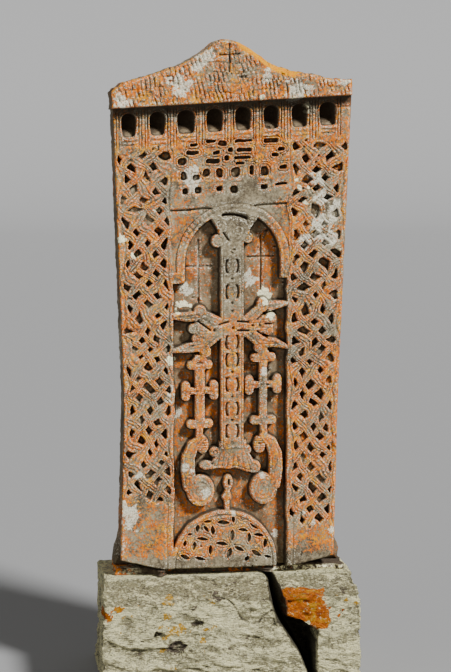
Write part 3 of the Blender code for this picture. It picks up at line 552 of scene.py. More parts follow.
def great_cross(u, w, floor):
    """The great cross with its leaves, lobes, links and ornamented head."""
    mid = CROSS_CENTRE_W
    forms = [
        box_in(u, w, -SHAFT_LEFT, SHAFT_FOOT, SHAFT_RIGHT, SHAFT_HEAD),
        box_in(u, w + 0.02 * u, -0.100, mid - 0.036, 0.105, mid + 0.034),
        limb_in(u, w, (-0.110, mid + 0.002), (0.112, mid + 0.006), 0.034, 0.034),
        ellipse_in(u, w, 0.004, 1.200, 0.058, 0.046),
        chain_in(u, w, [(0.002, 1.195), (0.008, 1.300)], [0.050, 0.120]),
    ]
    forms += [chain_in(u, w, path, radii) for path, radii in LEAVES]
    forms += [ellipse_in(u, w, a, b, r, r) for a, b, r in LOBES + HEAD_LOBES]
    inside = np.maximum.reduce(forms)
    height = standing(inside, floor, 0.001)
    arms = (np.abs(u) > 0.05) & (w < 1.0)
    height = height - leaf_lines(inside, 0.0100, 0.0026) * (inside > 0) * arms
    for a, b, r in LOBES + HEAD_LOBES:
        height -= 0.0034 * groove(np.hypot(u - a, w - b) - 0.60 * r, 0.0018)
    for a, b in ARM_SLITS:
        height -= 0.0150 * groove(line_gap(u, w, a, b), 0.0034)
    for a, b in ARM_DOTS:
        height -= 0.0130 * groove(np.hypot(u - a, w - b), 0.0052)
    for link in LINKS:
        bow = np.abs(np.hypot((u + 0.003) / 0.0215, (w - link) / 0.038) - 1) * 0.0215
        height -= 0.0130 * groove(bow, 0.0036) * soft((0.027 - np.abs(w - link)) / 0.005)
    for dot in LINK_DOTS:
        height -= 0.0100 * groove(np.hypot(u + 0.003, w - dot), 0.0048)
    rims = np.minimum(np.abs(u + 0.0355), np.abs(u - 0.0300))
    lower_end, upper_end = soft((w - SHAFT_FOOT) / 0.02), soft((SHAFT_HEAD - 0.01 - w) / 0.02)
    height -= 0.0032 * groove(rims, 0.0020) * lower_end * upper_end
    slot = np.abs(w - 1.259 + 3.5 * (u - 0.004) ** 2 + 0.16 * (u - 0.004))
    slot_half = 0.0050 + 0.035 * np.clip(u, 0, 0.06)
    height -= 0.028 * groove(slot, slot_half) * soft((0.050 - np.abs(u - 0.006)) / 0.010)
    for a, b, start in ((0.020, 1.206, 0.0), (-0.044, 1.222, 0.4), (0.064, 1.232, 0.7)):
        curl = np.hypot(u - a, (w - b) * 1.1) + 0.004 * noise(u, w, 0.03, 44)
        turn = np.arctan2(w - b, u - a) / (2 * math.pi)
        coil = stroke(curl / COIL_PITCH + turn + start, COIL_PITCH)
        height -= 0.0030 * groove(coil, 0.0019) * soft((0.030 - curl) / 0.008) * (w > SHAFT_HEAD - 0.02)
    split = line_gap(u, w, (-0.034, 1.198), (-0.016, 1.172))
    return height - 0.013 * groove(split, 0.0036)


def small_cross(u, w, floor, spec):
    """One of the two small crosses, on its stem over a scroll."""
    axis, shaft, top, arms, foot = spec
    reach, lobe = SMALL_REACH, SMALL_LOBE
    forms = [
        box_in(u, w, axis - shaft, foot, axis + shaft, top + 0.040),
        limb_in(u, w, (axis, top - 0.028), (axis, top + 0.012), shaft * 0.9, shaft * 1.5),
        limb_in(u, w, (axis - 0.032, foot), (axis + 0.032, foot), lobe, lobe),
        limb_in(u, w, (axis - 0.030, top + 0.002), (axis + 0.030, top + 0.002), lobe, lobe),
        limb_in(u, w, (axis, foot), (axis + math.copysign(0.004, axis), 0.468), 0.015, 0.014),
    ]
    for a in (-reach, reach):
        forms.append(limb_in(u, w, (axis, arms), (axis + a, arms), SMALL_BAR - 0.002, SMALL_BAR + 0.003))
        forms.append(limb_in(u, w, (axis + a, arms - 0.019), (axis + a, arms + 0.019), lobe, lobe))
    inside = np.maximum.reduce(forms)
    height = standing(inside, floor, -0.003)
    height -= 0.0030 * groove(box_in(u, w, axis - shaft, foot, axis + shaft, top) - 0.005, 0.0016)
    height -= 0.0026 * groove(inside - 0.0060, 0.0016) * (np.abs(u - axis) > shaft)
    height -= 0.0020 * groove(w - arms, 0.0016) * (np.abs(u - axis) < reach)
    return height - 0.0020 * groove(w - foot, 0.0016) * (np.abs(u - axis) < 0.034)


def scrolls(u, w, floor):
    """The two leaf scrolls with their stems and buds."""
    bud = np.maximum(*(ellipse_in(u, w, *spec) for spec in BUDS))
    u = np.abs(u + 0.002)
    curl = ellipse_in(u, w, SCROLL_U, SCROLL_W, SCROLL_HALF_WIDTH, SCROLL_HALF_HEIGHT)
    stem = chain_in(u, w, STEM_PATH, STEM_HALF_WIDTHS)
    inside = np.maximum(curl, stem)
    height = standing(inside, floor, -0.001, 0.012)
    spiral = np.hypot((u - SCROLL_U) / SCROLL_HALF_WIDTH, (w - SCROLL_W) / SCROLL_HALF_HEIGHT)
    turn = np.arctan2(w - SCROLL_W, u - SCROLL_U) / (2 * math.pi)
    coil = stroke(spiral * 4.2 + turn, SCROLL_PITCH)
    height -= 0.0022 * groove(coil, 0.0017) * (curl > 0.003) * (stem < 0.004)
    height -= 0.0024 * groove(stem - 0.012, 0.0017) * (w > 0.30)
    nicks = stroke(w / SCROLL_PITCH, SCROLL_PITCH)
    height -= 0.0024 * groove(nicks, 0.0020) * (inside > 0) * (inside < 0.011) * (u > 0.13) * (w < 0.42)
    leaf = standing(bud, floor, -0.004)
    leaf -= 0.0034 * groove(stroke(w / BUD_PITCH, BUD_PITCH), 0.0016) * (bud > 0)
    return np.maximum(height, leaf)


def mound(u, w, floor):
    """Lobed mound under the great cross, with a wavy lower edge, and the pendant below it."""
    lower = MOUND_W - 0.012 + 0.0025 * np.sin(u / 0.011) - 0.25 * np.maximum(u, 0)
    reach = 0.050 + 0.030 * soft((SHAFT_FOOT + 0.01 - w) / 0.07)
    body = np.minimum(np.minimum(w - lower, SHAFT_FOOT + 0.03 - w), reach - np.abs(u))
    lobes = [
        ellipse_in(u, w, -0.063, SHAFT_FOOT - 0.010, 0.021, 0.020),
        ellipse_in(u, w, 0.050, SHAFT_FOOT - 0.006, 0.018, 0.018),
        ellipse_in(u, w, -0.093, MOUND_W + 0.004, 0.028, 0.018),
        ellipse_in(u, w, 0.076, MOUND_W - 0.008, 0.026, 0.024),
    ]
    pendant = [
        ellipse_in(u, w, -0.016, SCROLL_W + 0.024, 0.019, 0.031),
        limb_in(u, w, (-0.020, SCROLL_W - 0.026), (-0.018, SCROLL_W - 0.008), 0.020, 0.012),
        limb_in(u, w, (-0.019, 0.200), (-0.020, SCROLL_W - 0.030), 0.010, 0.012),
    ]
    inside = np.maximum.reduce([body, *lobes])
    height = standing(inside, floor, -0.002) - leaf_lines(inside, 0.0085, 0.0030) * (inside < 0.016)
    middle, below = soft((body - 0.004) / 0.004), soft((SHAFT_FOOT - 0.012 - w) / 0.01)
    for k in MOUND_FOLDS:
        fold = u - 0.0135 * k - 0.55 * k * (SHAFT_FOOT - w) * 0.18
        height -= 0.0032 * groove(fold, 0.0018) * middle * below
    eye = ellipse_in(u, w, -0.013, SCROLL_W + 0.026, 0.006, 0.016)
    drop = standing(np.maximum.reduce(pendant), floor, -0.010) - 0.016 * soft(eye / 0.004)
    return np.maximum(height, drop)


def rosette(u, w, pit):
    """Half a disc of overlapping circles, whose leaf-shaped gaps are cut right down."""
    radius = np.hypot(u - ROSETTE_U, w - ROSETTE_W)
    inside = ROSETTE_RADIUS + 0.002 * noise(u, w, 0.04, 40) - radius
    wavy_u, wavy_w = u + 0.0015 * noise(u, w, 0.02, 41), w + 0.0015 * noise(u, w, 0.02, 42)
    first, second = nearest_two(petal_in(wavy_u, wavy_w, *petal) for petal in PETALS)
    first = first + 0.0016
    field = soft((inside - ROSETTE_RIM * 0.9) / 0.004)
    height = -0.0005 + 0.004 * np.clip(1 - radius / ROSETTE_RADIUS, 0, 1)
    height -= pit * (0.8 + 0.4 * noise(u, w, 0.05, 43)) * soft(first / 0.0030) * field
    height -= 0.0042 * groove(first + 0.0050, 0.0017) * field * soft((w - 0.030) / 0.012)
    height -= 0.0036 * groove(first - second, 0.0026) * (first < -0.005) * field * soft((w - 0.040) / 0.012)
    height -= 0.0040 * groove(inside - ROSETTE_RIM * 0.8, 0.0020)
    return height - 0.003 * soft((0.045 - w) / 0.02), inside


def panel(u, w, depth):
    """The sunk panel with its arch band and spandrels; also gives the distance inside the panel."""
    radius = np.hypot(u, w - ARCH_CENTRE_W)
    wide = np.where(u < 0, PANEL_LEFT, PANEL_RIGHT) + 0.0025 * noise(u * 0, w, 0.07, 50)
    low = np.minimum(wide - np.abs(u), IMPOST_HEIGHT - w)
    mid = np.minimum(ARCH_RADIUS - np.abs(u), ARCH_CENTRE_W - w)
    inside = np.maximum.reduce([low, mid, ARCH_RADIUS - radius])
    over = w > ARCH_CENTRE_W - 0.03
    spandrel = (radius > ARCH_RADIUS + ARCH_BAND) & over & (w < FRAME_LINE_W) & (np.abs(u) < wide + 0.006)
    outside = np.where(spandrel, -0.0060, 0.0)
    outside -= 0.0030 * groove(radius - ARCH_RADIUS - ARCH_BAND, 0.0022) * over
    outside -= 0.0018 * groove(radius - ARCH_RADIUS - 0.012, 0.0018) * over
    angle = np.degrees(np.arctan2(w - ARCH_CENTRE_W, u))
    hatch = stroke(angle / 5.5, 0.017)
    in_ring = (radius > ARCH_RADIUS + 0.008) & (radius < ARCH_RADIUS + ARCH_BAND + 0.004)
    notched = (angle > 112) & (angle < 160) & in_ring
    outside -= 0.0030 * groove(hatch, 0.0020) * notched
    frame_line = np.abs(w - FRAME_LINE_W + 0.002 * noise(u, w, 0.06, 51))
    ends = soft((np.abs(u) - 0.068) / 0.02) * soft((wide + 0.014 - np.abs(u)) / 0.004)
    outside -= 0.0095 * groove(frame_line, 0.0034) * ends
    jamb = np.abs(np.abs(u) - wide - 0.010)
    strength = np.where(u > 0, 0.0075, 0.0040)
    outside -= strength * groove(jamb, 0.0030) * (w > ARCH_CENTRE_W - 0.06) * (w < FRAME_LINE_W)
    roll = np.abs(np.abs(u) - wide - 0.021)
    outside -= 0.0035 * groove(roll, 0.0022) * (w < FRAME_LINE_W + 0.1)
    return np.where(inside > 0, -depth * soft(inside / WALL_RUN), outside), inside


def incised_gap(u, w, cu, cw, rise, fall, span, tilt):
    """Distance from the two strokes of an incised cross, whose arm falls by the tilt at its right end."""
    upright = line_gap(u, w, (cu, cw - fall), (cu, cw + rise))
    return np.minimum(upright, line_gap(u, w, (cu - span, cw), (cu + span, cw - tilt)))


def carve(u, w, slab):
    """Height of the whole carved front over the slab's face."""
    height, hollow = panel(u, w, slab.panel_depth)
    floor = -slab.panel_depth
    in_panel = hollow > 0
    picks = 0.0026 * rubble(u, w / 1.8, 0.011, 60) + 0.0030 * noise(u, w, 0.040, 61)
    height = np.where(in_panel, height + picks * soft(hollow / 0.01), height)
    for spec in INCISED_CROSSES:
        height -= 0.0085 * groove(incised_gap(u, w, *spec, 0.002), 0.0034) * in_panel
    cross = great_cross(u, w, floor)
    forms = [cross, scrolls(u, w, floor), mound(u, w, floor)]
    forms += [small_cross(u, w, floor, spec) for spec in SMALL_CROSSES]
    raised = np.maximum.reduce(forms)
    height = np.where(in_panel & (raised > floor + 0.0006), raised, height)
    height = np.where(in_panel & (np.abs(u) < 0.06) & (w > 1.20), cross, height)
    disc, in_disc = rosette(u, w, slab.pit_depth * 0.9)
    edge = soft(in_disc / WALL_RUN)
    height = np.where(in_disc > 0, height * (1 - edge) + disc * edge, height)

    for side in (-1, 1):
        strands, inside = border(u, w, side, slab.pit_depth)
        height = height * (1 - inside) + strands * inside
    mesh_band, inside = band(u, w, slab.pit_depth)
    height = height * (1 - inside) + mesh_band * inside
    blind = arcade(u, w, slab.niche_depth)
    height = np.where(w > 1.500, height + blind, height)
    head = soft((w - CORNICE_FOOT) / 0.004)
    height = height * (1 - head) + cornice(u, w, slab.cornice_proud) * head
    wear = 0.0014 * rubble(u, w, 0.050, 62) + 0.0009 * rubble(u, w, 0.012, 63)
    chips = -0.006 * soft((noise(u, w, 0.030, 64) + 0.5 * noise(u, w, 0.011, 65) - 0.95) / 0.25)
    return height + wear * slab.wear + chips * slab.wear - 0.0012


# Growth of lichen over the slab, as amounts from 0 to 1.


def patches(u, w, spots, ragged):
    """Amount of lichen in a table of spots with ragged edges."""
    amount = np.zeros_like(u)
    jag = 0.55 * noise(u, w, 0.014, ragged) + 0.35 * noise(u, w, 0.006, ragged + 1)
    for cu, cw, ru, rw in spots:
        amount = np.maximum(amount, soft((1.10 - np.hypot((u - cu) / ru, (w - cw) / rw) + jag) / 0.45))
    return amount


def growth(u, w, height, raised):
    """Amounts of orange, pale and cream lichen, and of yellow that is painted sunlight on the gable's top."""
    orange = 0.48 + 0.17 * noise(u, w, 0.110, 70) + 0.20 * noise(u, w, 0.030, 71)
    orange += 0.16 * soft((0.10 - np.hypot((u - 0.185) / 1.0, w - 1.235)) / 0.03) * (u > 0.12)
    orange += 0.10 * soft((w - CORNICE_FOOT) / 0.01) + 0.12 * soft((w - 1.46) / 0.03) * (w < CORNICE_FOOT)
    orange -= 0.30 * soft((w - 1.565) / 0.035) * (w < CORNICE_FOOT)
    borders = soft((np.abs(u) - 0.22) / 0.02)
    orange += 0.10 * soft((0.80 - w) / 0.1) + 0.02 * borders * soft((0.26 - w) / 0.03)
    orange -= 0.50 * soft((0.060 - w) / 0.035)
    grey_head = np.hypot((u - 0.045) / 0.17, (w - 1.275) / 0.115)
    orange -= 0.52 * soft(1.25 - grey_head)
    orange -= 0.26 * soft((0.050 - np.abs(u)) / 0.01) * soft((w - 0.84) / 0.15) * (w < 1.3)
    orange -= 0.04 * soft((-height - 0.020) / 0.015)
    orange -= 0.80 * soft((-height - 0.012) / 0.010) * (w > NICHE_FOOT - 0.01)
    orange += 0.42 * (raised - 0.5)
    strips = np.minimum(np.abs(u - left_limit(w)), np.abs(right_limit(w) - u))
    orange += 0.25 * soft((0.020 - strips) / 0.010)
    # Painted sunlight: yellow along the top of the gable's right slope, and fainter along its whole top edge
    # over the cornice.
    yellow = soft((gable_top(u) - w < 0.026) * 1.0) * soft((u - 0.0) / 0.03) * soft((0.235 - u) / 0.04)
    yellow = yellow + 0.35 * soft((0.014 - (gable_top(u) - w)) / 0.010) * (w > CORNICE_FOOT)
    pale = patches(u, w, PALE_PATCHES, 72) + 0.24 * soft((noise(u, w, 0.045, 74) - 0.35) / 0.3)
    pale += 0.34 * soft((0.24 - w) / 0.06) * soft((-0.30 - u) / 0.06) * soft(0.6 + noise(u, w, 0.030, 79))
    pale += 0.24 * (w > CORNICE_FOOT) * soft(0.5 + 1.2 * noise(u, w, 0.030, 78))
    pale = np.maximum(pale, 0.95 * groove(incised_gap(u, w, *INCISED_CROSSES[0], 0.0), 0.0030))
    cream = patches(u, w, CREAM_PATCHES, 76)
    return [np.clip(mask, 0, 1) for mask in (orange, pale, cream, yellow)]


def box_blur(grid, cells):
    """Mean of a square of cells about each one."""
    if cells < 1:
        return grid
    size = 2 * cells + 1
    for axis in (0, 1):
        pad = [(cells + 1, cells) if k == axis else (0, 0) for k in (0, 1)]
        total = np.cumsum(np.pad(grid, pad, mode="edge"), axis=axis)
        grid = (np.take(total, range(size, total.shape[axis]), axis) -
                np.take(total, range(0, total.shape[axis] - size), axis)) / size
    return grid


# Settings that a user can change.


def length_setting(label, text, value):
    """A length in metres."""
    return FloatProperty(name=label, description=text, default=value, unit="LENGTH")


def number_setting(label, text, value):
    """A plain number that can't fall below 0."""
    return FloatProperty(name=label, description=text, default=value, min=0.0)


def angle_setting(label, text, degrees):
    """An angle, given in degrees."""
    return FloatProperty(name=label, description=text, default=math.radians(degrees), subtype="ANGLE")


def colour_setting(label, text, *value):
    """A colour, given as linear red, green and blue."""
    return FloatVectorProperty(name=label, description=text, default=value, subtype="COLOR")


class KhachkarSlabSettings(bpy.types.PropertyGroup):
    """Depths of the carving and fineness of the slab's mesh."""

    cell: length_setting("Carving Cell", "Spacing of the carved surface", 0.0021)
    triangles: IntProperty(name="Triangles", description="Most triangles that the slab keeps", default=192000)
    panel_depth: length_setting("Panel Depth", "Depth of the sunk panel", 0.040)
    niche_depth: length_setting("Niche Depth", "Depth of the blind niches", 0.055)
    pit_depth: length_setting("Pit Depth", "Depth between plait strands", 0.024)
    cornice_proud: length_setting("Cornice Proud", "Step of the cornice", 0.034)
    wear: number_setting("Wear", "Strength of weathering", 1.0)


class KhachkarBaseSettings(bpy.types.PropertyGroup):
    """Fineness and roughness of the base stones and the mortar."""

    rock_cell: length_setting("Rock Cell", "Voxel size of the stones", 0.0052)
    mortar_cell: length_setting("Mortar Cell", "Voxel size of the mortar", 0.0042)
    relief: length_setting("Rock Relief", "Depth of the broken surface", 0.018)


class KhachkarColours(bpy.types.PropertyGroup):
    """Colours of the stone and of what grows on it."""

    stone_light: colour_setting("Stone Light", "Lighter tuff", 0.285, 0.238, 0.145)
    stone_dark: colour_setting("Stone Dark", "Darker tuff", 0.070, 0.052, 0.031)
    stone_brown: colour_setting("Stone Brown", "Stone in the sunk places", 0.175, 0.107, 0.052)
    # Hollow: the colour painted as shade, with its dirt, in the pits, niches, cracks and cavity; the mortar
    # also takes it as its darker tone.
    hollow: colour_setting("Hollow", "Grime in the pits", 0.027, 0.018, 0.010)
    orange: colour_setting("Orange Lichen", "Orange growth", 0.64, 0.172, 0.000)
    rust: colour_setting("Rust Lichen", "Deep orange growth", 0.41, 0.084, 0.001)
    # Yellow: also the colour of the painted sunlight along the gable's top.
    yellow: colour_setting("Yellow Lichen", "Yellow growth", 0.62, 0.32, 0.000)
    pale: colour_setting("Pale Lichen", "Grey-white growth", 0.72, 0.69, 0.54)
    cream: colour_setting("Cream Lichen", "Cream growth", 0.90, 0.85, 0.55)
    # The crust's cream and green also make the painted highlight on proud rock and the painted shade in its
    # deep cuts.
    rock_cream: colour_setting("Rock Cream", "Crust on the base", 1.00, 0.93, 0.52)
    rock_green: colour_setting("Rock Green", "Greenish crust", 0.33, 0.30, 0.16)
    rock_bare: colour_setting("Bare Rock", "Bare base stone", 0.175, 0.135, 0.098)
    mortar: colour_setting("Mortar", "Old mortar", 0.090, 0.065, 0.042)
    floor: colour_setting("Floor", "Plain floor", 0.24, 0.24, 0.24)


class KhachkarStageSettings(bpy.types.PropertyGroup):
    """Camera and lights."""

    azimuth: angle_setting("Azimuth", "Side from which the camera looks", -7.5)
    elevation: angle_setting("Elevation", "Height angle of the camera", 7.0)
    distance: length_setting("Distance", "From the aim to the camera", 6.5)
    aim_height: length_setting("Aim Height", "Height that the camera looks at", 1.25)
    lens: number_setting("Lens", "Focal length in millimetres over a 36 mm high frame", 99.2)
    key: number_setting("Key Light", "Strength of the key light in watts per square metre", 7.3)
    fill: number_setting("Fill Light", "Power of the fill light in watts", 78.0)
    sky: number_setting("Sky", "Strength of the even light all round", 0.28)


# Node helpers and shared effects.


class Nodes:
    """Short ways to add and join shader nodes in one tree."""

    def __init__(self, tree):
        self.tree = tree

    def add(self, kind, **values):
        """A new node; its values go to properties or, failing that, to sockets."""
        node = self.tree.nodes.new(kind)
        for name, value in values.items():
            if hasattr(node, name):
                setattr(node, name, value)
            else:
                self.put(value, node.inputs[name.replace("_", " ")])
        return node

    def put(self, value, socket):
        """Links a socket, or sets it to a value."""
        if isinstance(value, bpy.types.NodeSocket):
            self.tree.links.new(value, socket)
        else:
            socket.default_value = (*value, 1.0) if len_of(value) == 3 and socket.type == "RGBA" else value

    def noise(self, vector, scale, detail=3.0, rough=0.55):
        """Fractal noise about 0.5."""
        node = self.add("ShaderNodeTexNoise", Scale=scale, Detail=detail, Roughness=rough)
        self.put(vector, node.inputs["Vector"])
        return node.outputs["Fac"]

    def maths(self, operation, a, b=0.0):
        node = self.tree.nodes.new("ShaderNodeMath")
        node.operation = operation
        self.put(a, node.inputs[0])
        self.put(b, node.inputs[1])
        return node.outputs[0]

    def times(self, a, b):
        return self.maths("MULTIPLY", a, b)

    def plus(self, a, b):
        return self.maths("ADD", a, b)

    def minus(self, a, b):
        return self.maths("SUBTRACT", a, b)

    def step(self, value, low, high, to_low=0.0, to_high=1.0):
        """A smooth step between two values."""
        node = self.tree.nodes.new("ShaderNodeMapRange")
        node.interpolation_type = "SMOOTHSTEP"
        for socket, given in zip(node.inputs, (value, low, high, to_low, to_high)):
            self.put(given, socket)
        return node.outputs[0]

    def mix(self, amount, a, b):
        node = self.tree.nodes.new("ShaderNodeMix")
        node.data_type = "RGBA"
        self.put(amount, node.inputs[0])
        self.put(a, node.inputs[6])
        self.put(b, node.inputs[7])
        return node.outputs[2]

    def stretch(self, vector, scale):
        """The vector scaled along each axis."""
        node = self.tree.nodes.new("ShaderNodeMapping")
        node.inputs["Scale"].default_value = scale
        self.put(vector, node.inputs["Vector"])
        return node.outputs["Vector"]


def len_of(value):
    return len(value) if hasattr(value, "__len__") else 1


def new_group(name, inputs, outputs):
    """A new shader node group with the given sockets: its tree, its input node and its output node."""
    tree = bpy.data.node_groups.new(name, "ShaderNodeTree")
    for label, kind, default in inputs:
        socket = tree.interface.new_socket(name=label, in_out="INPUT", socket_type=kind)
        if default is not None:
            socket.default_value = default
    for label, kind in outputs:
        tree.interface.new_socket(name=label, in_out="OUTPUT", socket_type=kind)
    return tree, tree.nodes.new("NodeGroupInput"), tree.nodes.new("NodeGroupOutput")


def growth_group():
    """Ragged spots of lichen: Amount is the share that they cover."""
    tree, given, made = new_group(
        "Lichen Spots",
        [("Vector", "NodeSocketVector", None), ("Amount", "NodeSocketFloat", 0.5),
         ("Scale", "NodeSocketFloat", 90.0), ("Raggedness", "NodeSocketFloat", 0.06)],
        [("Mask", "NodeSocketFloat")],
    )
    n = Nodes(tree)
    coarse = n.noise(given.outputs["Vector"], given.outputs["Scale"], 4.0, 0.62)
    limit = n.minus(0.76, n.times(given.outputs["Amount"], 0.52))
    mask = n.step(n.minus(coarse, limit), 0.0, given.outputs["Raggedness"])
    n.put(mask, made.inputs["Mask"])
    return tree


def grain_group():
    """Grit and tone of open-grained stone."""
    tree, given, made = new_group(
        "Stone Grain",
        [("Vector", "NodeSocketVector", None), ("Scale", "NodeSocketFloat", 1.0)],
        [("Tone", "NodeSocketFloat"), ("Grit", "NodeSocketFloat")],
    )
    n = Nodes(tree)
    scaled = tree.nodes.new("ShaderNodeVectorMath")
    scaled.operation = "SCALE"
    n.put(given.outputs["Vector"], scaled.inputs[0])
    n.put(given.outputs["Scale"], scaled.inputs["Scale"])
    at = scaled.outputs[0]
    broad, fine = n.noise(at, 14.0, 5.0, 0.65), n.noise(at, 110.0, 4.0, 0.7)
    tone = n.plus(n.times(broad, 0.5), n.times(fine, 0.5))
    n.put(n.step(tone, 0.39, 0.62), made.inputs["Tone"])
    sand, pebbles = n.noise(at, 260.0, 3.0, 0.7), n.noise(at, 90.0, 2.0, 0.6)
    grit = n.plus(n.times(sand, 0.6), n.times(pebbles, 0.4))
    n.put(grit, made.inputs["Grit"])
    return tree


def place_group(n, tree, **values):
    """A node that uses a shared group, with its inputs set or linked."""
    node = n.tree.nodes.new("ShaderNodeGroup")
    node.node_tree = tree
    for name, value in values.items():
        n.put(value, node.inputs[name])
    return node


def new_material(name):
    """A matt material: its nodes, its shader and the place on the object."""
    mat = bpy.data.materials.new(name)
    mat.use_nodes = True
    n, shader = Nodes(mat.node_tree), mat.node_tree.nodes["Principled BSDF"]
    shader.inputs["Metallic"].default_value = 0.0
    shader.inputs["Specular IOR Level"].default_value = 0.25
    return n, shader, n.add("ShaderNodeTexCoord").outputs["Object"]


def attribute(n, name):
    """The four amounts that paint() stored under a name."""
    node = n.tree.nodes.new("ShaderNodeAttribute")
    node.attribute_name = name
    split = n.tree.nodes.new("ShaderNodeSeparateColor")
    n.put(node.outputs["Color"], split.inputs[0])
    return [*split.outputs, node.outputs["Alpha"]]


def join(n, shader, colour, grit, smoothest, rise, strength, distance):
    """Joins the colour, a roughness that follows the grit, and a bump to the shader."""
    n.put(colour, shader.inputs["Base Color"])
    n.put(n.step(grit, 0.3, 0.7, smoothest, 1.0), shader.inputs["Roughness"])
    bump = n.add("ShaderNodeBump", Strength=strength, Distance=distance, Height=rise)
    n.put(bump.outputs[0], shader.inputs["Normal"])


def carved_stone_material(grain, spots, colours):
    """Grey-brown tuff with orange, pale and cream growth, pale flecks painted as highlights on the raised
    places, a yellow band of painted sunlight along the top of the gable, and painted shade with its dirt in
    the pits.
    """
    n, shader, at = new_material("carved_stone")
    orange_amount, pale_amount, cream_amount, sunlit_yellow_amount = attribute(n, "growth")
    # The form's amounts: painted shade with its dirt, raised carving and deep carving.
    hollow, raised, deep, _ = attribute(n, "form")
    stone = place_group(n, grain, Vector=at, Scale=1.0)
    base = n.mix(stone.outputs["Tone"], colours.stone_dark, colours.stone_light)
    base = n.mix(n.times(deep, 0.45), base, colours.stone_brown)

    flat = n.stretch(at, (1.0, 1.0, 1.7))
    orange = place_group(n, spots, Vector=flat, Amount=orange_amount, Scale=72.0, Raggedness=0.05)
    fleck_amount = n.times(orange_amount, 0.85)
    fleck = place_group(n, spots, Vector=at, Amount=fleck_amount, Scale=190.0, Raggedness=0.05)
    orange_mask = n.maths("MAXIMUM", orange.outputs["Mask"], n.times(fleck.outputs["Mask"], 0.9))
    bare = n.step(n.noise(n.stretch(at, (1.0, 1.0, 0.6)), 150.0, 3.0, 0.65), 0.42, 0.50)
    orange_mask = n.times(orange_mask, bare)
    tint = n.mix(n.step(n.noise(at, 60.0, 3.0), 0.36, 0.60), colours.rust, colours.orange)
    tint = n.mix(n.step(n.noise(at, 34.0, 2.0), 0.46, 0.70, 0.0, 0.60), tint, colours.yellow)
    tint = n.mix(n.times(deep, 0.60), tint, colours.rust)
    colour = n.mix(orange_mask, base, tint)
    # Painted highlights: pale flecks on the raised places, where the ridges catch the light.
    ridge_highlight_flecks = n.times(n.step(raised, 0.48, 0.80), n.step(n.noise(flat, 175.0, 3.0, 0.7), 0.53, 0.60))
    colour = n.mix(n.times(ridge_highlight_flecks, 0.80), colour, colours.pale)

    pale = place_group(n, spots, Vector=at, Amount=pale_amount, Scale=120.0, Raggedness=0.10)
    speck = n.noise(at, 230.0, 3.0, 0.7)
    pale_mask = n.times(pale.outputs["Mask"], n.step(pale_amount, 0.05, 0.5))
    pale_mask = n.times(pale_mask, n.step(n.noise(at, 105.0, 3.0, 0.65), 0.34, 0.46))
    chalk = n.mix(n.step(speck, 0.36, 0.52), colours.stone_light, colours.pale)
    colour = n.mix(n.times(pale_mask, 0.88), colour, chalk)
    cream_mask = n.step(n.plus(cream_amount, n.times(n.noise(at, 140.0, 4.0, 0.65), 0.8)), 0.80, 0.98)
    colour = n.mix(cream_mask, colour, n.mix(n.step(speck, 0.34, 0.46), colours.stone_light, colours.cream))
    # Painted sunlight: yellow and orange along the top of the gable.
    sunlit_yellow_mask = n.step(n.plus(sunlit_yellow_amount, n.times(n.noise(at, 75.0, 4.0), 0.9)), 0.75, 0.95)
    sunlit_gold = n.mix(n.step(speck, 0.40, 0.58), colours.orange, colours.yellow)
    colour = n.mix(sunlit_yellow_mask, colour, sunlit_gold)

    # Painted shade with some dirt: in the pits, niches and crevices, under the cornice, and over the sides
    # and back.
    shade_and_grime = n.step(n.plus(hollow, n.times(n.noise(at, 50.0, 3.0), 0.25)), 0.22, 0.85)
    colour = n.mix(n.times(shade_and_grime, 0.88), colour, colours.hollow)
    rise = n.plus(n.times(stone.outputs["Grit"], 0.9), n.times(orange_mask, 0.35))
    rise = n.plus(rise, n.times(cream_mask, 0.5))
    join(n, shader, colour, stone.outputs["Grit"], 0.82, rise, 0.75, 0.005)


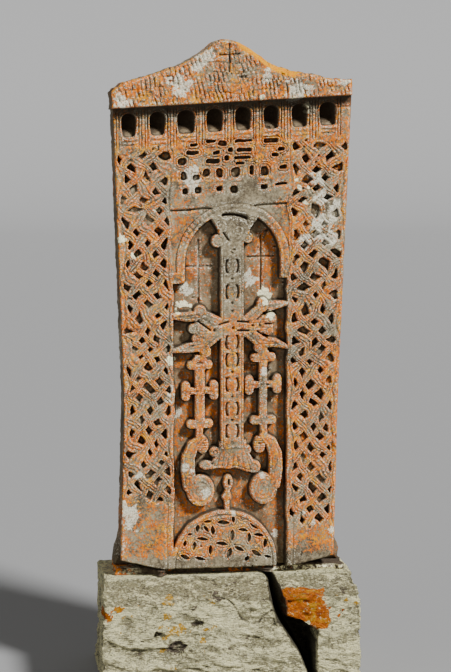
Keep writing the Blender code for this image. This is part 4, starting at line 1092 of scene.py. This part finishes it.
def base_rock_material(grain, spots, colours):
    """Pale crusted rock with bare patches, mustard spots, and a coat of orange where the mask says so;
    painted highlight on its proud places and painted shade in its cracks, deep cuts and cavity.
    """
    n, shader, at = new_material("base_rock")
    # The growth's third amount is where shade is painted, with the dirt in the cracks.
    bare_amount, orange_amount, hollow, mustard_amount = attribute(n, "growth")
    proud, *_ = attribute(n, "form")
    rock = place_group(n, grain, Vector=at, Scale=0.8)
    flat = n.stretch(at, (1.0, 1.0, 2.8))
    coarse, fine = n.noise(flat, 13.0, 5.0, 0.72), n.noise(flat, 62.0, 4.0, 0.72)
    patchy = n.plus(n.times(coarse, 0.45), n.times(fine, 0.55))
    # Painted highlight and shade: cream on the proud places, green in the deep cuts.
    patchy = n.plus(patchy, n.times(n.minus(0.5, proud), 0.22))
    crust = n.mix(n.step(patchy, 0.515, 0.585), colours.rock_cream, colours.rock_green)
    crust = n.mix(n.step(n.noise(flat, 95.0, 4.0, 0.7), 0.52, 0.58, 0.0, 0.70), crust, colours.cream)
    stone = n.mix(rock.outputs["Tone"], colours.stone_dark, colours.rock_bare)
    seam = n.maths("ABSOLUTE", n.minus(n.noise(n.stretch(at, (1.0, 1.0, 3.6)), 15.0, 4.0, 0.65), 0.5))
    seam = n.times(n.step(seam, 0.0, 0.022, 1.0, 0.0), n.step(n.noise(at, 9.0, 2.0), 0.38, 0.52))
    crust = n.mix(n.times(seam, 0.8), crust, stone)
    crust = n.mix(n.step(n.noise(flat, 78.0, 4.0, 0.75), 0.555, 0.615, 0.0, 0.75), crust, stone)
    bare = place_group(n, spots, Vector=flat, Amount=bare_amount, Scale=30.0, Raggedness=0.10)
    colour = n.mix(n.times(bare.outputs["Mask"], n.step(fine, 0.38, 0.48, 0.10, 1.0)), crust, stone)
    mustard = place_group(n, spots, Vector=at, Amount=mustard_amount, Scale=38.0, Raggedness=0.04)
    flecked = n.step(n.noise(at, 120.0, 3.0, 0.7), 0.40, 0.52, 0.10, 0.95)
    colour = n.mix(n.times(mustard.outputs["Mask"], flecked), colour, colours.yellow)
    orange = place_group(n, spots, Vector=at, Amount=orange_amount, Scale=55.0, Raggedness=0.05)
    coat = n.times(orange.outputs["Mask"], n.step(orange_amount, 0.1, 0.5))
    tint = n.mix(n.step(n.noise(at, 60.0, 3.0), 0.36, 0.58), colours.rust, colours.orange)
    tint = n.mix(n.step(n.noise(at, 36.0, 3.0), 0.52, 0.66, 0.0, 0.7), tint, colours.yellow)
    coat = n.times(coat, n.step(n.noise(at, 85.0, 3.0, 0.65), 0.33, 0.42, 0.15, 1.0))
    colour = n.mix(coat, colour, tint)
    # Painted shade with the dirt in them: in the cracks, the deep cuts and the block's cavity.
    shade_and_grime = n.step(n.plus(hollow, n.times(n.noise(at, 60.0, 3.0), 0.3)), 0.30, 0.90)
    colour = n.mix(n.times(shade_and_grime, 0.9), colour, colours.hollow)
    rise = n.minus(rock.outputs["Grit"], n.times(bare.outputs["Mask"], 0.4))
    rise = n.minus(n.plus(rise, n.times(fine, 1.6)), n.times(seam, 0.8))
    join(n, shader, colour, rock.outputs["Grit"], 0.85, rise, 1.0, 0.026)


def mortar_material(grain, spots, colours):
    """Dark mortar with spots of orange growth, and a pale crust where the mask says so."""
    n, shader, at = new_material("old_mortar")
    rock = place_group(n, grain, Vector=at, Scale=1.4)
    colour = n.mix(rock.outputs["Tone"], colours.hollow, colours.mortar)
    orange_amount, crusted, *_ = attribute(n, "growth")
    speckled = n.step(n.noise(at, 70.0, 4.0, 0.65), 0.40, 0.50)
    crust = n.mix(n.step(n.noise(at, 95.0, 3.0), 0.42, 0.56), colours.rock_bare, colours.cream)
    colour = n.mix(n.times(crusted, speckled), colour, crust)
    spot = place_group(n, spots, Vector=at, Amount=orange_amount, Scale=60.0, Raggedness=0.05)
    tint = n.mix(n.step(orange_amount, 0.40, 0.60), colours.rust, colours.orange)
    colour = n.mix(n.times(spot.outputs["Mask"], 0.9), colour, tint)
    join(n, shader, colour, rock.outputs["Grit"], 0.88, rock.outputs["Grit"], 0.8, 0.006)


def finishes():
    """Builds the two shared groups and the three stone materials once, and returns them by name."""
    if "carved_stone" not in bpy.data.materials:
        colours = bpy.context.scene.khachkar_colours
        grain, spots = grain_group(), growth_group()
        carved_stone_material(grain, spots, colours)
        base_rock_material(grain, spots, colours)
        mortar_material(grain, spots, colours)
    return bpy.data.materials


# Meshes.


def activate(obj):
    """Makes an object the active and only selected one."""
    for other in bpy.context.selected_objects:
        other.select_set(False)
    obj.select_set(True)
    bpy.context.view_layer.objects.active = obj


def apply_modifier(obj, kind, **values):
    """Adds a modifier with the given values and applies it."""
    mod = obj.modifiers.new(kind.title(), kind)
    for name, value in values.items():
        setattr(mod, name, value)
    activate(obj)
    bpy.ops.object.modifier_apply(modifier=mod.name)


def paint(mesh, name, channels):
    """Stores up to four amounts at each point of a mesh."""
    colour = np.zeros((len(mesh.vertices), 4), dtype=np.float32)
    for k, channel in enumerate(channels):
        colour[:, k] = channel
    layer = mesh.attributes.new(name, "FLOAT_COLOR", "POINT")
    layer.data.foreach_set("color", colour.ravel())


def detail_cell(slab):
    return slab.cell * 1


def face_grid(slab):
    """u, w and height over the face for the carved front, as rows from the foot to the gable."""
    cell = detail_cell(slab)
    across = COARSEN * round(FACE_WIDTH / cell / COARSEN)
    up = COARSEN * round(FACE_HEIGHT / cell / COARSEN)
    s = np.linspace(0, 1, across + 1)[None, :]
    t = np.linspace(0, 1, up + 1)[:, None]
    rough_u = HEAD_HALF_WIDTH * (2 * s - 1) + 0 * t
    high = gable_top(rough_u) - 0.0015 - 0.003 * np.abs(noise(rough_u, rough_u * 0, 0.02, 80))
    tufts = np.clip(noise(rough_u, rough_u * 0, 0.012, 84), 0, 1)
    high += 0.006 * soft((np.abs(rough_u + 0.02) - 0.08) / 0.05) * tufts
    low = foot_line(rough_u) + 0.004 * np.abs(noise(rough_u, rough_u * 0, 0.03, 81))
    w = low + (high - low) * t
    left = left_limit(w) + 0.0035 * np.abs(rubble(w, w * 0, 0.030, 82)) + 0.0005
    right = right_limit(w) - 0.0035 * np.abs(rubble(w, w * 0, 0.030, 83)) - 0.0005
    u = left + (right - left) * s
    return u, w, carve(u, w, slab)


def rim(grid):
    """The grid's border, anticlockwise from its lower left corner."""
    return np.concatenate([grid[0, :], grid[1:, -1], grid[-1, -2::-1], grid[-2:0:-1, 0]])


def shoulder(height, rim_gap):
    """Rounds the carved face down to the sides."""
    return height - 0.006 * np.clip(1 - rim_gap / 0.009, 0, 1) ** 2


def edge_gap(u, w, foot):
    """Distance from the nearest edge of the face."""
    sideways = np.minimum(u - left_limit(w), right_limit(w) - u)
    return np.minimum(sideways, np.minimum(w - foot, gable_top(u) - w))


def face_form(w, height, cell):
    """Amounts over the front of painted shade in the hollows, of raised carving and of deep carving."""
    reaches = (NEAR_REACH, FAR_REACH, CLOSE_REACH)
    near, far, close = (box_blur(height, round(reach / cell)) for reach in reaches)
    # Painted shade: darker where the carving lies below its blurred surroundings, in pits, hollows and
    # crevices.
    hollow = 0.50 * np.clip((near - height - 0.0020) / 0.012, 0, 1)
    hollow += 0.28 * np.clip((far - height - 0.010) / 0.026, 0, 1)
    # Painted shade in the niches.
    hollow += 0.45 * soft((-height - 0.015) / 0.02) * (w > NICHE_FOOT - 0.01)
    # Painted shadow under the cornice, over the tops of the niches.
    hollow += (0.26 * soft((w - 1.550) / 0.05) + 0.55 * soft((w - 1.612) / 0.024)) * (w < CORNICE_FOOT)
    # Painted shade in the finest crevices; darker towards the foot.
    hollow += 0.55 * np.clip((close - height - 0.0005) / 0.0034, 0, 1) + 0.20 * soft((0.050 - w) / 0.03)
    raised = np.clip(0.5 + (height - near) / 0.009 + (height - close) / 0.005, 0, 1)
    return np.clip(hollow, 0, 1), raised, soft((-height - 0.010) / 0.018)


def rim_directions(rows, cols):
    """The way out of the face, across and up, at each point of its rim."""
    out = np.zeros((2 * (rows + cols) - 4, 2))
    out[:cols, 1] = -1
    out[cols:cols + rows - 1, 0] = 1
    out[cols + rows - 1:2 * cols + rows - 2, 1] = 1
    out[2 * cols + rows - 2:, 0] = -1
    return out


def side_ring(share, start, u, w, out):
    """One ring of the rough sides, at its share of the way back; the tang spreads at its foot."""
    y = start[:, 1] + (BACK_Y - start[:, 1]) * share
    bumpy = 0.0055 * np.abs(rubble(y, w + u, 0.035, 90)) + 0.004 * soft((share - 0.85) / 0.15)
    step = -bumpy * soft(share / 0.12)
    x, z = start[:, 0] + step * out[:, 0], start[:, 2] + step * out[:, 1]
    tang, at_foot = soft((y - TANG_FRONT_Y) / 0.012), out[:, 1] < 0
    for side, spread, tall in TANG_SIDES:
        flare = spread * np.clip(1 - w / tall, 0, 1) * (0.85 + 0.15 * rubble(y, w, 0.02, 91))
        beyond = side * u - TANG_START_U
        outer = (out[:, 0] == side) | (at_foot & (beyond > 0))
        x += side * flare * tang * outer * np.where(out[:, 0] == side, 1.0, np.clip(beyond / 0.08, 0, 1))
    z = np.where(at_foot, z * (1 - tang) + (FOOT_Z + TANG_CLEARANCE) * tang, z)
    return np.stack([x, y, z], axis=-1)


def rough_back(front, u, w, last):
    """The coarser back, whose rim meets the last ring, and its points in the order of that rim."""
    back = front.copy()
    pitted = 0.009 * np.abs(rubble(u, w, 0.16, 92)) + 0.004 * np.abs(rubble(u, w, 0.03, 93))
    back[..., 1] = BACK_Y - pitted * soft(edge_gap(u, w, 0.0) / 0.03)
    order = rim(np.arange(u.size).reshape(u.shape))
    back = back.reshape(-1, 3)
    back[order] = last
    return back, order


def grid_faces(index, backwards=False):
    """Four-sided faces between the points of a grid; backwards turns them over."""
    corners = [index[:-1, :-1], index[:-1, 1:], index[1:, 1:], index[1:, :-1]]
    if backwards:
        corners = [corners[0], *corners[:0:-1]]
    return np.stack(corners, axis=-1).reshape(-1, 4).tolist()


def shell_faces(shape, back_shape, order):
    """Faces of the front, the rings, the back, and the fans that join its coarser rim to the last ring."""
    front_index = np.arange(shape[0] * shape[1]).reshape(shape)
    faces = grid_faces(front_index)
    ring, base = rim(front_index), front_index.size
    for _ in range(SIDE_RINGS):
        after = base + np.arange(len(ring))
        faces += np.stack([np.roll(ring, -1), ring, after, np.roll(after, -1)], axis=-1).tolist()
        ring, base = after, base + len(ring)
    back_index = base + np.arange(back_shape[0] * back_shape[1]).reshape(back_shape)
    faces += grid_faces(back_index, backwards=True)
    coarse = base + order
    for m in range(len(coarse)):
        run = [int(ring[(COARSEN * m + k) % len(ring)]) for k in range(COARSEN, -1, -1)]
        faces.append([*run, int(coarse[m]), int(coarse[(m + 1) % len(coarse)])])
    return faces


def side_growth(x, y, z):
    """Amounts of lichen over the sides and the back, and of yellow painted as sunlight on the right half of
    the gable's crown.
    """
    orange = 0.30 + 0.35 * noise(x + y, z, 0.12, 94)
    pale = 0.45 * soft((noise(x, z, 0.14, 95) - 0.15) / 0.3)
    # Painted sunlight on the right half of the gable's crown.
    sunlit_crest = 0.42 * soft((z - FOOT_Z - 1.70) / 0.05) * soft((x - AXIS_X + 0.01) / 0.04)
    return orange, pale, np.zeros_like(x), sunlit_crest


def side_form(x, y, z):
    """Amounts of hollow, raised and deep stone over the sides and the back."""
    dark = 0.34 + 0.22 * noise(x + 2 * y, z, 0.05, 96)
    dark = dark * soft((FOOT_Z + 1.80 - z) / 0.05) * (1 - 0.5 * soft((y - 0.05) / 0.03))
    return dark, np.full(len(x), 0.5), np.full(len(x), 0.6)


def slab_mesh(slab):
    """A closed mesh: carved front, rough sides in rings and a coarser rough back."""
    u, w, height = face_grid(slab)
    height = shoulder(height, edge_gap(u, w, foot_line(u)))
    form = face_form(w, height, detail_cell(slab))
    masks = growth(u, w, height, form[1])

    front = np.stack([AXIS_X + u, FACE_Y - height, FOOT_Z + w + climb(w) * u], axis=-1)
    start, out = rim(front), rim_directions(*u.shape)
    rings = [side_ring(k / SIDE_RINGS, start, rim(u), rim(w), out) for k in range(1, SIDE_RINGS + 1)]
    few = (slice(None, None, COARSEN),) * 2
    back, order = rough_back(front[few], u[few], w[few], rings[-1][::COARSEN])
    verts = np.concatenate([front.reshape(-1, 3), *rings, back])
    mesh = bpy.data.meshes.new("carved_slab_stone")
    mesh.from_pydata(verts.tolist(), [], shell_faces(u.shape, u[few].shape, order))
    sides = verts[u.size:].T
    for name, face, rest in (("growth", masks, side_growth(*sides)), ("form", form, side_form(*sides))):
        paint(mesh, name, [np.concatenate([part.ravel(), more]) for part, more in zip(face, rest)])
    return mesh


def copy_node(name, piece):
    """A merged copy of a CAD node under a new name."""
    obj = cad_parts[name].copy()
    obj.data = obj.data.copy()
    obj.name = obj.data.name = piece
    obj.parent = None
    obj.hide_render = False
    bpy.context.scene.collection.objects.link(obj)
    obj.matrix_world.identity()
    activate(obj)
    bpy.ops.object.mode_set(mode="EDIT")
    bpy.ops.mesh.select_all(action="SELECT")
    bpy.ops.mesh.remove_doubles(threshold=0.0001)
    bpy.ops.object.mode_set(mode="OBJECT")
    obj.data.materials.clear()
    return obj


def read_rows(items, name):
    """One row of three values for each item."""
    values = np.empty(3 * len(items), dtype=np.float32)
    items.foreach_get(name, values)
    return values.reshape(-1, 3).astype(float)


def mesh_points(mesh):
    return read_rows(mesh.vertices, "co")


def mesh_normals(mesh):
    return read_rows(mesh.vertex_normals, "vector")


def set_points(mesh, points):
    """Moves every point of a mesh."""
    mesh.vertices.foreach_set("co", points.astype(np.float32).ravel())
    mesh.update()


def solid_noise(points, size, layer):
    """Noise in space from three planes."""
    x, y, z = points.T
    planes = ((x + 0.37 * y, z, 0), (y + 0.29 * z, x, 5), (z, y - 0.41 * x, 9))
    return sum(rubble(a, b, size, layer + k) for a, b, k in planes) / 1.9


def spots_over(x, z, spots):
    """1 in the middle of the nearest spot, falling to 0 at its ragged edge."""
    gap = np.minimum.reduce([np.hypot((x - cx) / rx, (z - cz) / rz) for cx, cz, rx, rz in spots])
    ragged = 0.50 * noise(x, z, 0.014, 240) + 0.45 * noise(x, z, 0.006, 241)
    return soft((1.25 + ragged - gap) / 0.6)


def front_share(y):
    """1 on the fronts of the base stones and 0 further back."""
    return soft((FRONT_Y - y) / 0.03)


def weather_rock(obj, relief, seed, crack_side):
    """Cuts bedding, chips and cracks into a base stone's faces; its face at the crack stays close."""
    mesh = obj.data
    points, normals = mesh_points(mesh), mesh_normals(mesh)
    low, high = points.min(axis=0), points.max(axis=0)
    x, y, z = points.T
    swirl = 0.045 * solid_noise(points, 0.20, seed) + 0.014 * solid_noise(points, 0.06, seed + 3)
    bedding = z + 0.16 * x + swirl
    ledges = stroke(bedding / BEDDING_PITCH, 2)
    ledge = soft((ledges - 0.55) / 0.35) * soft(0.5 + 1.6 * solid_noise(points, 0.18, seed + 20))
    flakes = noise(x + 0.6 * y + 0.5 * swirl, bedding * 3.4, 0.045, seed + 70)
    flakes += 0.6 * noise(x + 0.6 * y, bedding * 3.4, 0.021, seed + 71)
    lumps = 0.5 + 0.5 * solid_noise(points, 0.090, seed + 30)
    crumbs = 0.5 + 0.5 * solid_noise(points, 0.026, seed + 40)
    crack = groove(np.abs(solid_noise(points, 0.20, seed + 50)), 0.022)
    crack = crack * soft(2.2 * solid_noise(points, 0.3, seed + 60))
    cut = relief * (0.42 * ledge + 0.50 * lumps + 0.22 * crumbs + 0.36 * (1 + flakes)) + 0.012 * crack
    cut = cut + 0.016 * front_share(y) * spots_over(x, z, ROCK_HOLES)
    brow = soft((z - high[2] + 0.040) / 0.034) * soft((-0.235 - y) / 0.030)
    notches = 0.45 + 0.9 * noise(x, 0 * x, 0.050, seed + 80) + 0.5 * noise(x, z, 0.020, seed + 81)
    cut = cut + 0.020 * brow * np.clip(notches, 0, 1)
    resting = soft((z - low[2] - 0.002) / 0.012)
    under_slab = (normals[:, 2] > 0.7) * (y > FACE_Y - 0.02) * (y < BACK_Y + 0.03)
    seat = 1 - soft((z - high[2] + 0.004) / 0.004) * under_slab
    facing = soft((crack_side * normals[:, 0] - 0.35) / 0.3) * soft((y + 0.295) / 0.02)
    fallen = np.clip((1 - z / high[2] - CRACK_START) / (CRACK_END - CRACK_START), 0, 1)
    crack_x = CRACK_TOP_X + (CRACK_FOOT_X - CRACK_TOP_X) * (0.5 - 0.5 * np.cos(math.pi * fallen))
    facing *= soft((0.075 - np.abs(x - crack_x)) / 0.02)
    cut = (cut - SWELL) * resting * seat * (1 - 0.9 * facing)
    points -= normals * cut[:, None]
    points[:, 0] += facing * (CRACK_CLOSING * crack_side - CRACK_BEND * soft((y + 0.10) / 0.14))
    set_points(mesh, np.clip(points, low, high))
    # The faces inside the crack, which get painted shade.
    shaded_crack_faces = facing * (z < high[2] - 0.002)
    cut += SWELL
    # Painted shade with the dirt in them: darker in the cracks, in the deep cuts among the flakes, and on the
    # faces inside the crack.
    shade_and_grime = crack + 0.45 * soft((0.25 - flakes) / 0.9) * soft((cut / relief - 0.75) / 0.5) + 0.9 * shaded_crack_faces
    ledge_top = soft((normals[:, 2] - 0.5) / 0.3) * (y < FACE_Y)
    return cut / relief + 0.45 * ledge_top, np.clip(shade_and_grime, 0, 1)


def make_rock(node, piece, settings, seed, crack_side):
    """Remeshes a copy of a base stone and weathers it; returns it with its amounts of cut and of painted
    shade with dirt.
    """
    obj = copy_node(node, piece)
    apply_modifier(obj, "REMESH", mode="VOXEL", voxel_size=settings.rock_cell * 1)
    apply_modifier(obj, "SMOOTH", factor=0.6, iterations=4)
    cut, shade_and_grime = weather_rock(obj, settings.relief, seed, crack_side)
    return obj, cut, shade_and_grime


def paint_rock(obj, cut, orange, shade_and_grime, patchy, size, layer):
    """Stores the growth on a base stone: bare patches and mustard follow noise and the spots on its front."""
    points = mesh_points(obj.data)
    x, y, z = points.T
    bare = 0.16 + patchy * solid_noise(points, size, layer) + 0.12 * soft((cut - 1.0) / 0.5)
    bare += 0.50 * front_share(y) * spots_over(x, z, ROCK_BARE)
    mustard = 0.12 + 0.26 * solid_noise(points, 0.10, layer + 10)
    mustard += 0.56 * front_share(y) * spots_over(x, z, MUSTARD)
    paint(obj.data, "growth", [np.clip(amount, 0, 1) for amount in (bare, orange, shade_and_grime, mustard)])
    # How proud each point stands: the material paints proud places cream as painted highlight and deep cuts
    # green as painted shade.
    paint(obj.data, "form", [np.clip(1.1 - cut, 0, 1)])


def finish_piece(obj, node, material):
    """Gives a piece its material, smooth shading and body, and hides the CAD node that it stands for."""
    obj.data.materials.append(material)
    activate(obj)
    bpy.ops.object.shade_smooth()
    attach(obj, "root")
    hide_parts(node)


# Operators.


class KHACHKAR_OT_slab(bpy.types.Operator):
    """Carve the slab with its cornice, niches, plaits, crosses and rosette"""

    bl_idname = "khachkar.slab"
    bl_label = "Carved Slab"
    bl_options = {"REGISTER", "UNDO"}

    def execute(self, context):
        slab = context.scene.khachkar_slab
        mesh = slab_mesh(slab)
        obj = bpy.data.objects.new("slab_stone", mesh)
        context.scene.collection.objects.link(obj)
        triangles = sum(len(face.vertices) - 2 for face in mesh.polygons)
        apply_modifier(obj, "TRIANGULATE")
        apply_modifier(obj, "DECIMATE", ratio=min(1.0, slab.triangles / triangles))
        finish_piece(obj, "carved_slab", finishes()["carved_stone"])
        return {"FINISHED"}


class KHACHKAR_OT_mortar(bpy.types.Operator):
    """Press the mortar out between the slab and the base"""

    bl_idname = "khachkar.mortar"
    bl_label = "Mortar Bed"
    bl_options = {"REGISTER", "UNDO"}

    def execute(self, context):
        base = context.scene.khachkar_base
        obj = copy_node("mortar_bed", "bedding_mortar")
        apply_modifier(obj, "REMESH", mode="VOXEL", voxel_size=base.mortar_cell)
        points, normals = mesh_points(obj.data), mesh_normals(obj.data)
        x, y, z = points.T
        low, high = points.min(axis=0), points.max(axis=0)
        lumps = 0.5 + 0.5 * solid_noise(points, 0.055, 120)
        crumbs = 0.5 + 0.5 * solid_noise(points, 0.018, 124)
        edge = 1 - np.abs(normals[:, 2])
        points -= normals * ((0.013 * soft(lumps * 1.6 - 0.3) + 0.004 * crumbs) * edge)[:, None]
        outer = soft((FACE_Y + 0.030 - y) / 0.012)
        middle = (low[2] + high[2]) / 2
        squeeze = 1 - outer * (0.15 + 0.45 * soft(0.5 + noise(x, 0 * x, 0.06, 126)))
        points[:, 2] = middle + (z - middle) * squeeze
        lump = np.maximum(soft(1.4 - np.abs(x + 0.229) / 0.022), soft(1.4 - np.abs(x - 0.152) / 0.024))
        lump = np.maximum(lump, 0.8 * soft(2.4 * noise(x, 0 * x, 0.045, 128) - 0.6))
        points[:, 1] = np.where(y < -0.040, -0.040 + (y + 0.040) * (0.34 + 0.52 * lump), y)
        set_points(obj.data, np.clip(points, low, high))
        orange = 0.30 + 0.22 * noise(x, y, 0.080, 132) + 0.34 * soft((-0.30 - x) / 0.05)
        share = (z - low[2]) / (high[2] - low[2])
        crusted = soft((x - 0.150) / 0.04) * soft((0.80 - share) / 0.25) + 0.5 * soft((-0.28 - x) / 0.05)
        paint(obj.data, "growth", [np.clip(amount, 0, 1) for amount in (orange, crusted)])
        finish_piece(obj, "mortar_bed", finishes()["old_mortar"])
        return {"FINISHED"}


class KHACHKAR_OT_boulder(bpy.types.Operator):
    """Break the faces of the larger base stone"""

    bl_idname = "khachkar.boulder"
    bl_label = "Base Boulder"
    bl_options = {"REGISTER", "UNDO"}

    def execute(self, context):
        obj, cut, shade_and_grime = make_rock("base_boulder", "boulder_stone", context.scene.khachkar_base, 130, 1)
        x, y, z = mesh_points(obj.data).T
        orange = 0.90 * front_share(y) * spots_over(x, z, ORANGE_SPOTS)
        paint_rock(obj, cut, orange, shade_and_grime, 0.32, 0.14, 200)
        finish_piece(obj, "base_boulder", finishes()["base_rock"])
        return {"FINISHED"}


class KHACHKAR_OT_block(bpy.types.Operator):
    """Break the faces of the smaller base stone and grow its orange coat"""

    bl_idname = "khachkar.block"
    bl_label = "Base Block"
    bl_options = {"REGISTER", "UNDO"}

    def execute(self, context):
        obj, cut, shade_and_grime = make_rock("base_block", "block_stone", context.scene.khachkar_base, 160, -1)
        x, y, z = mesh_points(obj.data).T
        (cx, cz), (rx, rz) = ORANGE_COAT, ORANGE_COAT_HALF
        across, up = np.abs(x - cx + 0.10 * (z - cz)) / rx, np.abs(z - cz) / rz
        ragged = 1.10 + 0.30 * noise(x, z, 0.030, 242) + 0.16 * noise(x, z, 0.010, 243)
        coat = soft((ragged - (across ** 4 + up ** 4) ** 0.25) / 0.30)
        orange = np.maximum(coat, 0.9 * spots_over(x, z, ORANGE_SPOTS)) * front_share(y)
        # Painted shade inside the cavity, below and left of its upper right corner, behind the front.
        cavity_shade = 0.7 * soft((CAVITY_TOP - z) / 0.02) * soft((CAVITY_X - x) / 0.01)
        shade_and_grime = shade_and_grime + cavity_shade * soft((y + 0.275) / 0.02) * (y < FACE_Y)
        paint_rock(obj, cut, orange, shade_and_grime, 0.30, 0.12, 220)
        finish_piece(obj, "base_block", finishes()["base_rock"])
        return {"FINISHED"}


class KHACHKAR_OT_stage(bpy.types.Operator):
    """Set the plain floor, the soft lights and the camera"""

    bl_idname = "khachkar.stage"
    bl_label = "Stage"
    bl_options = {"REGISTER", "UNDO"}

    def execute(self, context):
        settings = context.scene.khachkar_stage
        self.lay_floor(context)
        aim = Vector((AIM_X, FACE_Y, settings.aim_height))
        turn, level = settings.azimuth, math.cos(settings.elevation)
        back = Vector((math.sin(turn) * level, -math.cos(turn) * level, math.sin(settings.elevation)))
        self.hang_light(context, "key", "SUN", aim, KEY_PLACE, settings.key).angle = KEY_ANGLE
        fill = self.hang_light(context, "fill", "AREA", aim, FILL_PLACE, settings.fill)
        fill.shape = "DISK"
        fill.size = FILL_SIZE
        world = context.scene.world or bpy.data.worlds.new("plain_sky")
        context.scene.world = world
        world.use_nodes = True
        sky = world.node_tree.nodes["Background"]
        sky.inputs["Color"].default_value = SKY_COLOUR
        sky.inputs["Strength"].default_value = settings.sky
        camera = bpy.data.cameras.new("camera")
        camera.lens = settings.lens
        camera.sensor_fit = "VERTICAL"
        camera.sensor_height = SENSOR_HEIGHT
        obj = bpy.data.objects.new("camera", camera)
        obj.location = aim + back * settings.distance
        obj.rotation_euler = (-back).to_track_quat("-Z", "Y").to_euler()
        context.scene.collection.objects.link(obj)
        context.scene.camera = obj
        return {"FINISHED"}

    def lay_floor(self, context):
        """A floor that sweeps up into a wall far behind the piece."""
        profile = [(-FLOOR_REACH, 0.0)]
        for k in range(SWEEP_STEPS + 1):
            a = math.pi / 2 * k / SWEEP_STEPS
            profile.append((FLOOR_REACH - SWEEP + SWEEP * math.sin(a), SWEEP - SWEEP * math.cos(a)))
        profile.append((FLOOR_REACH, WALL_HEIGHT))
        verts = [(x, y, z) for y, z in profile for x in (-FLOOR_HALF_WIDTH, FLOOR_HALF_WIDTH)]
        faces = [(2 * k, 2 * k + 1, 2 * k + 3, 2 * k + 2) for k in range(len(profile) - 1)]
        mesh = bpy.data.meshes.new("floor")
        mesh.from_pydata(verts, [], faces)
        floor = bpy.data.objects.new("floor", mesh)
        context.scene.collection.objects.link(floor)
        activate(floor)
        bpy.ops.object.shade_smooth()
        mat = bpy.data.materials.new("pale_floor")
        mat.use_nodes = True
        shader = mat.node_tree.nodes["Principled BSDF"]
        shader.inputs["Base Color"].default_value = (*context.scene.khachkar_colours.floor, 1.0)
        shader.inputs["Roughness"].default_value = 0.9
        floor.data.materials.append(mat)

    def hang_light(self, context, name, kind, aim, place, power):
        """A light at a place, turned to the aim."""
        light = bpy.data.lights.new(name, kind)
        light.energy = power
        obj = bpy.data.objects.new(name, light)
        obj.location = place
        obj.rotation_euler = (aim - Vector(place)).to_track_quat("-Z", "Y").to_euler()
        context.scene.collection.objects.link(obj)
        return light


OPERATORS = (KHACHKAR_OT_slab, KHACHKAR_OT_mortar, KHACHKAR_OT_boulder, KHACHKAR_OT_block, KHACHKAR_OT_stage)
SETTINGS = {
    "khachkar_slab": KhachkarSlabSettings,
    "khachkar_base": KhachkarBaseSettings,
    "khachkar_colours": KhachkarColours,
    "khachkar_stage": KhachkarStageSettings,
}


class VIEW3D_PT_khachkar(bpy.types.Panel):
    """Lists the khachkar's pieces and their settings."""

    bl_idname = "VIEW3D_PT_khachkar"
    bl_label = "Khachkar"
    bl_space_type = "VIEW_3D"
    bl_region_type = "UI"
    bl_category = "Khachkar"

    def draw(self, context):
        for operator in OPERATORS:
            self.layout.operator(operator.bl_idname)
        for name in SETTINGS:
            settings = getattr(context.scene, name)
            box = self.layout.box()
            for prop in settings.bl_rna.properties:
                if prop.identifier not in ("rna_type", "name"):
                    box.prop(settings, prop.identifier)


def register():
    for cls in (*SETTINGS.values(), *OPERATORS, VIEW3D_PT_khachkar):
        bpy.utils.register_class(cls)
    for name, cls in SETTINGS.items():
        setattr(bpy.types.Scene, name, PointerProperty(type=cls))


def unregister():
    for name in SETTINGS:
        delattr(bpy.types.Scene, name)
    for cls in (VIEW3D_PT_khachkar, *reversed(OPERATORS), *reversed(SETTINGS.values())):
        bpy.utils.unregister_class(cls)


def main():
    register()
    bpy.ops.khachkar.slab()
    bpy.ops.khachkar.mortar()
    bpy.ops.khachkar.boulder()
    bpy.ops.khachkar.block()
    bpy.ops.khachkar.stage()


if __name__ == "__main__":
    main()
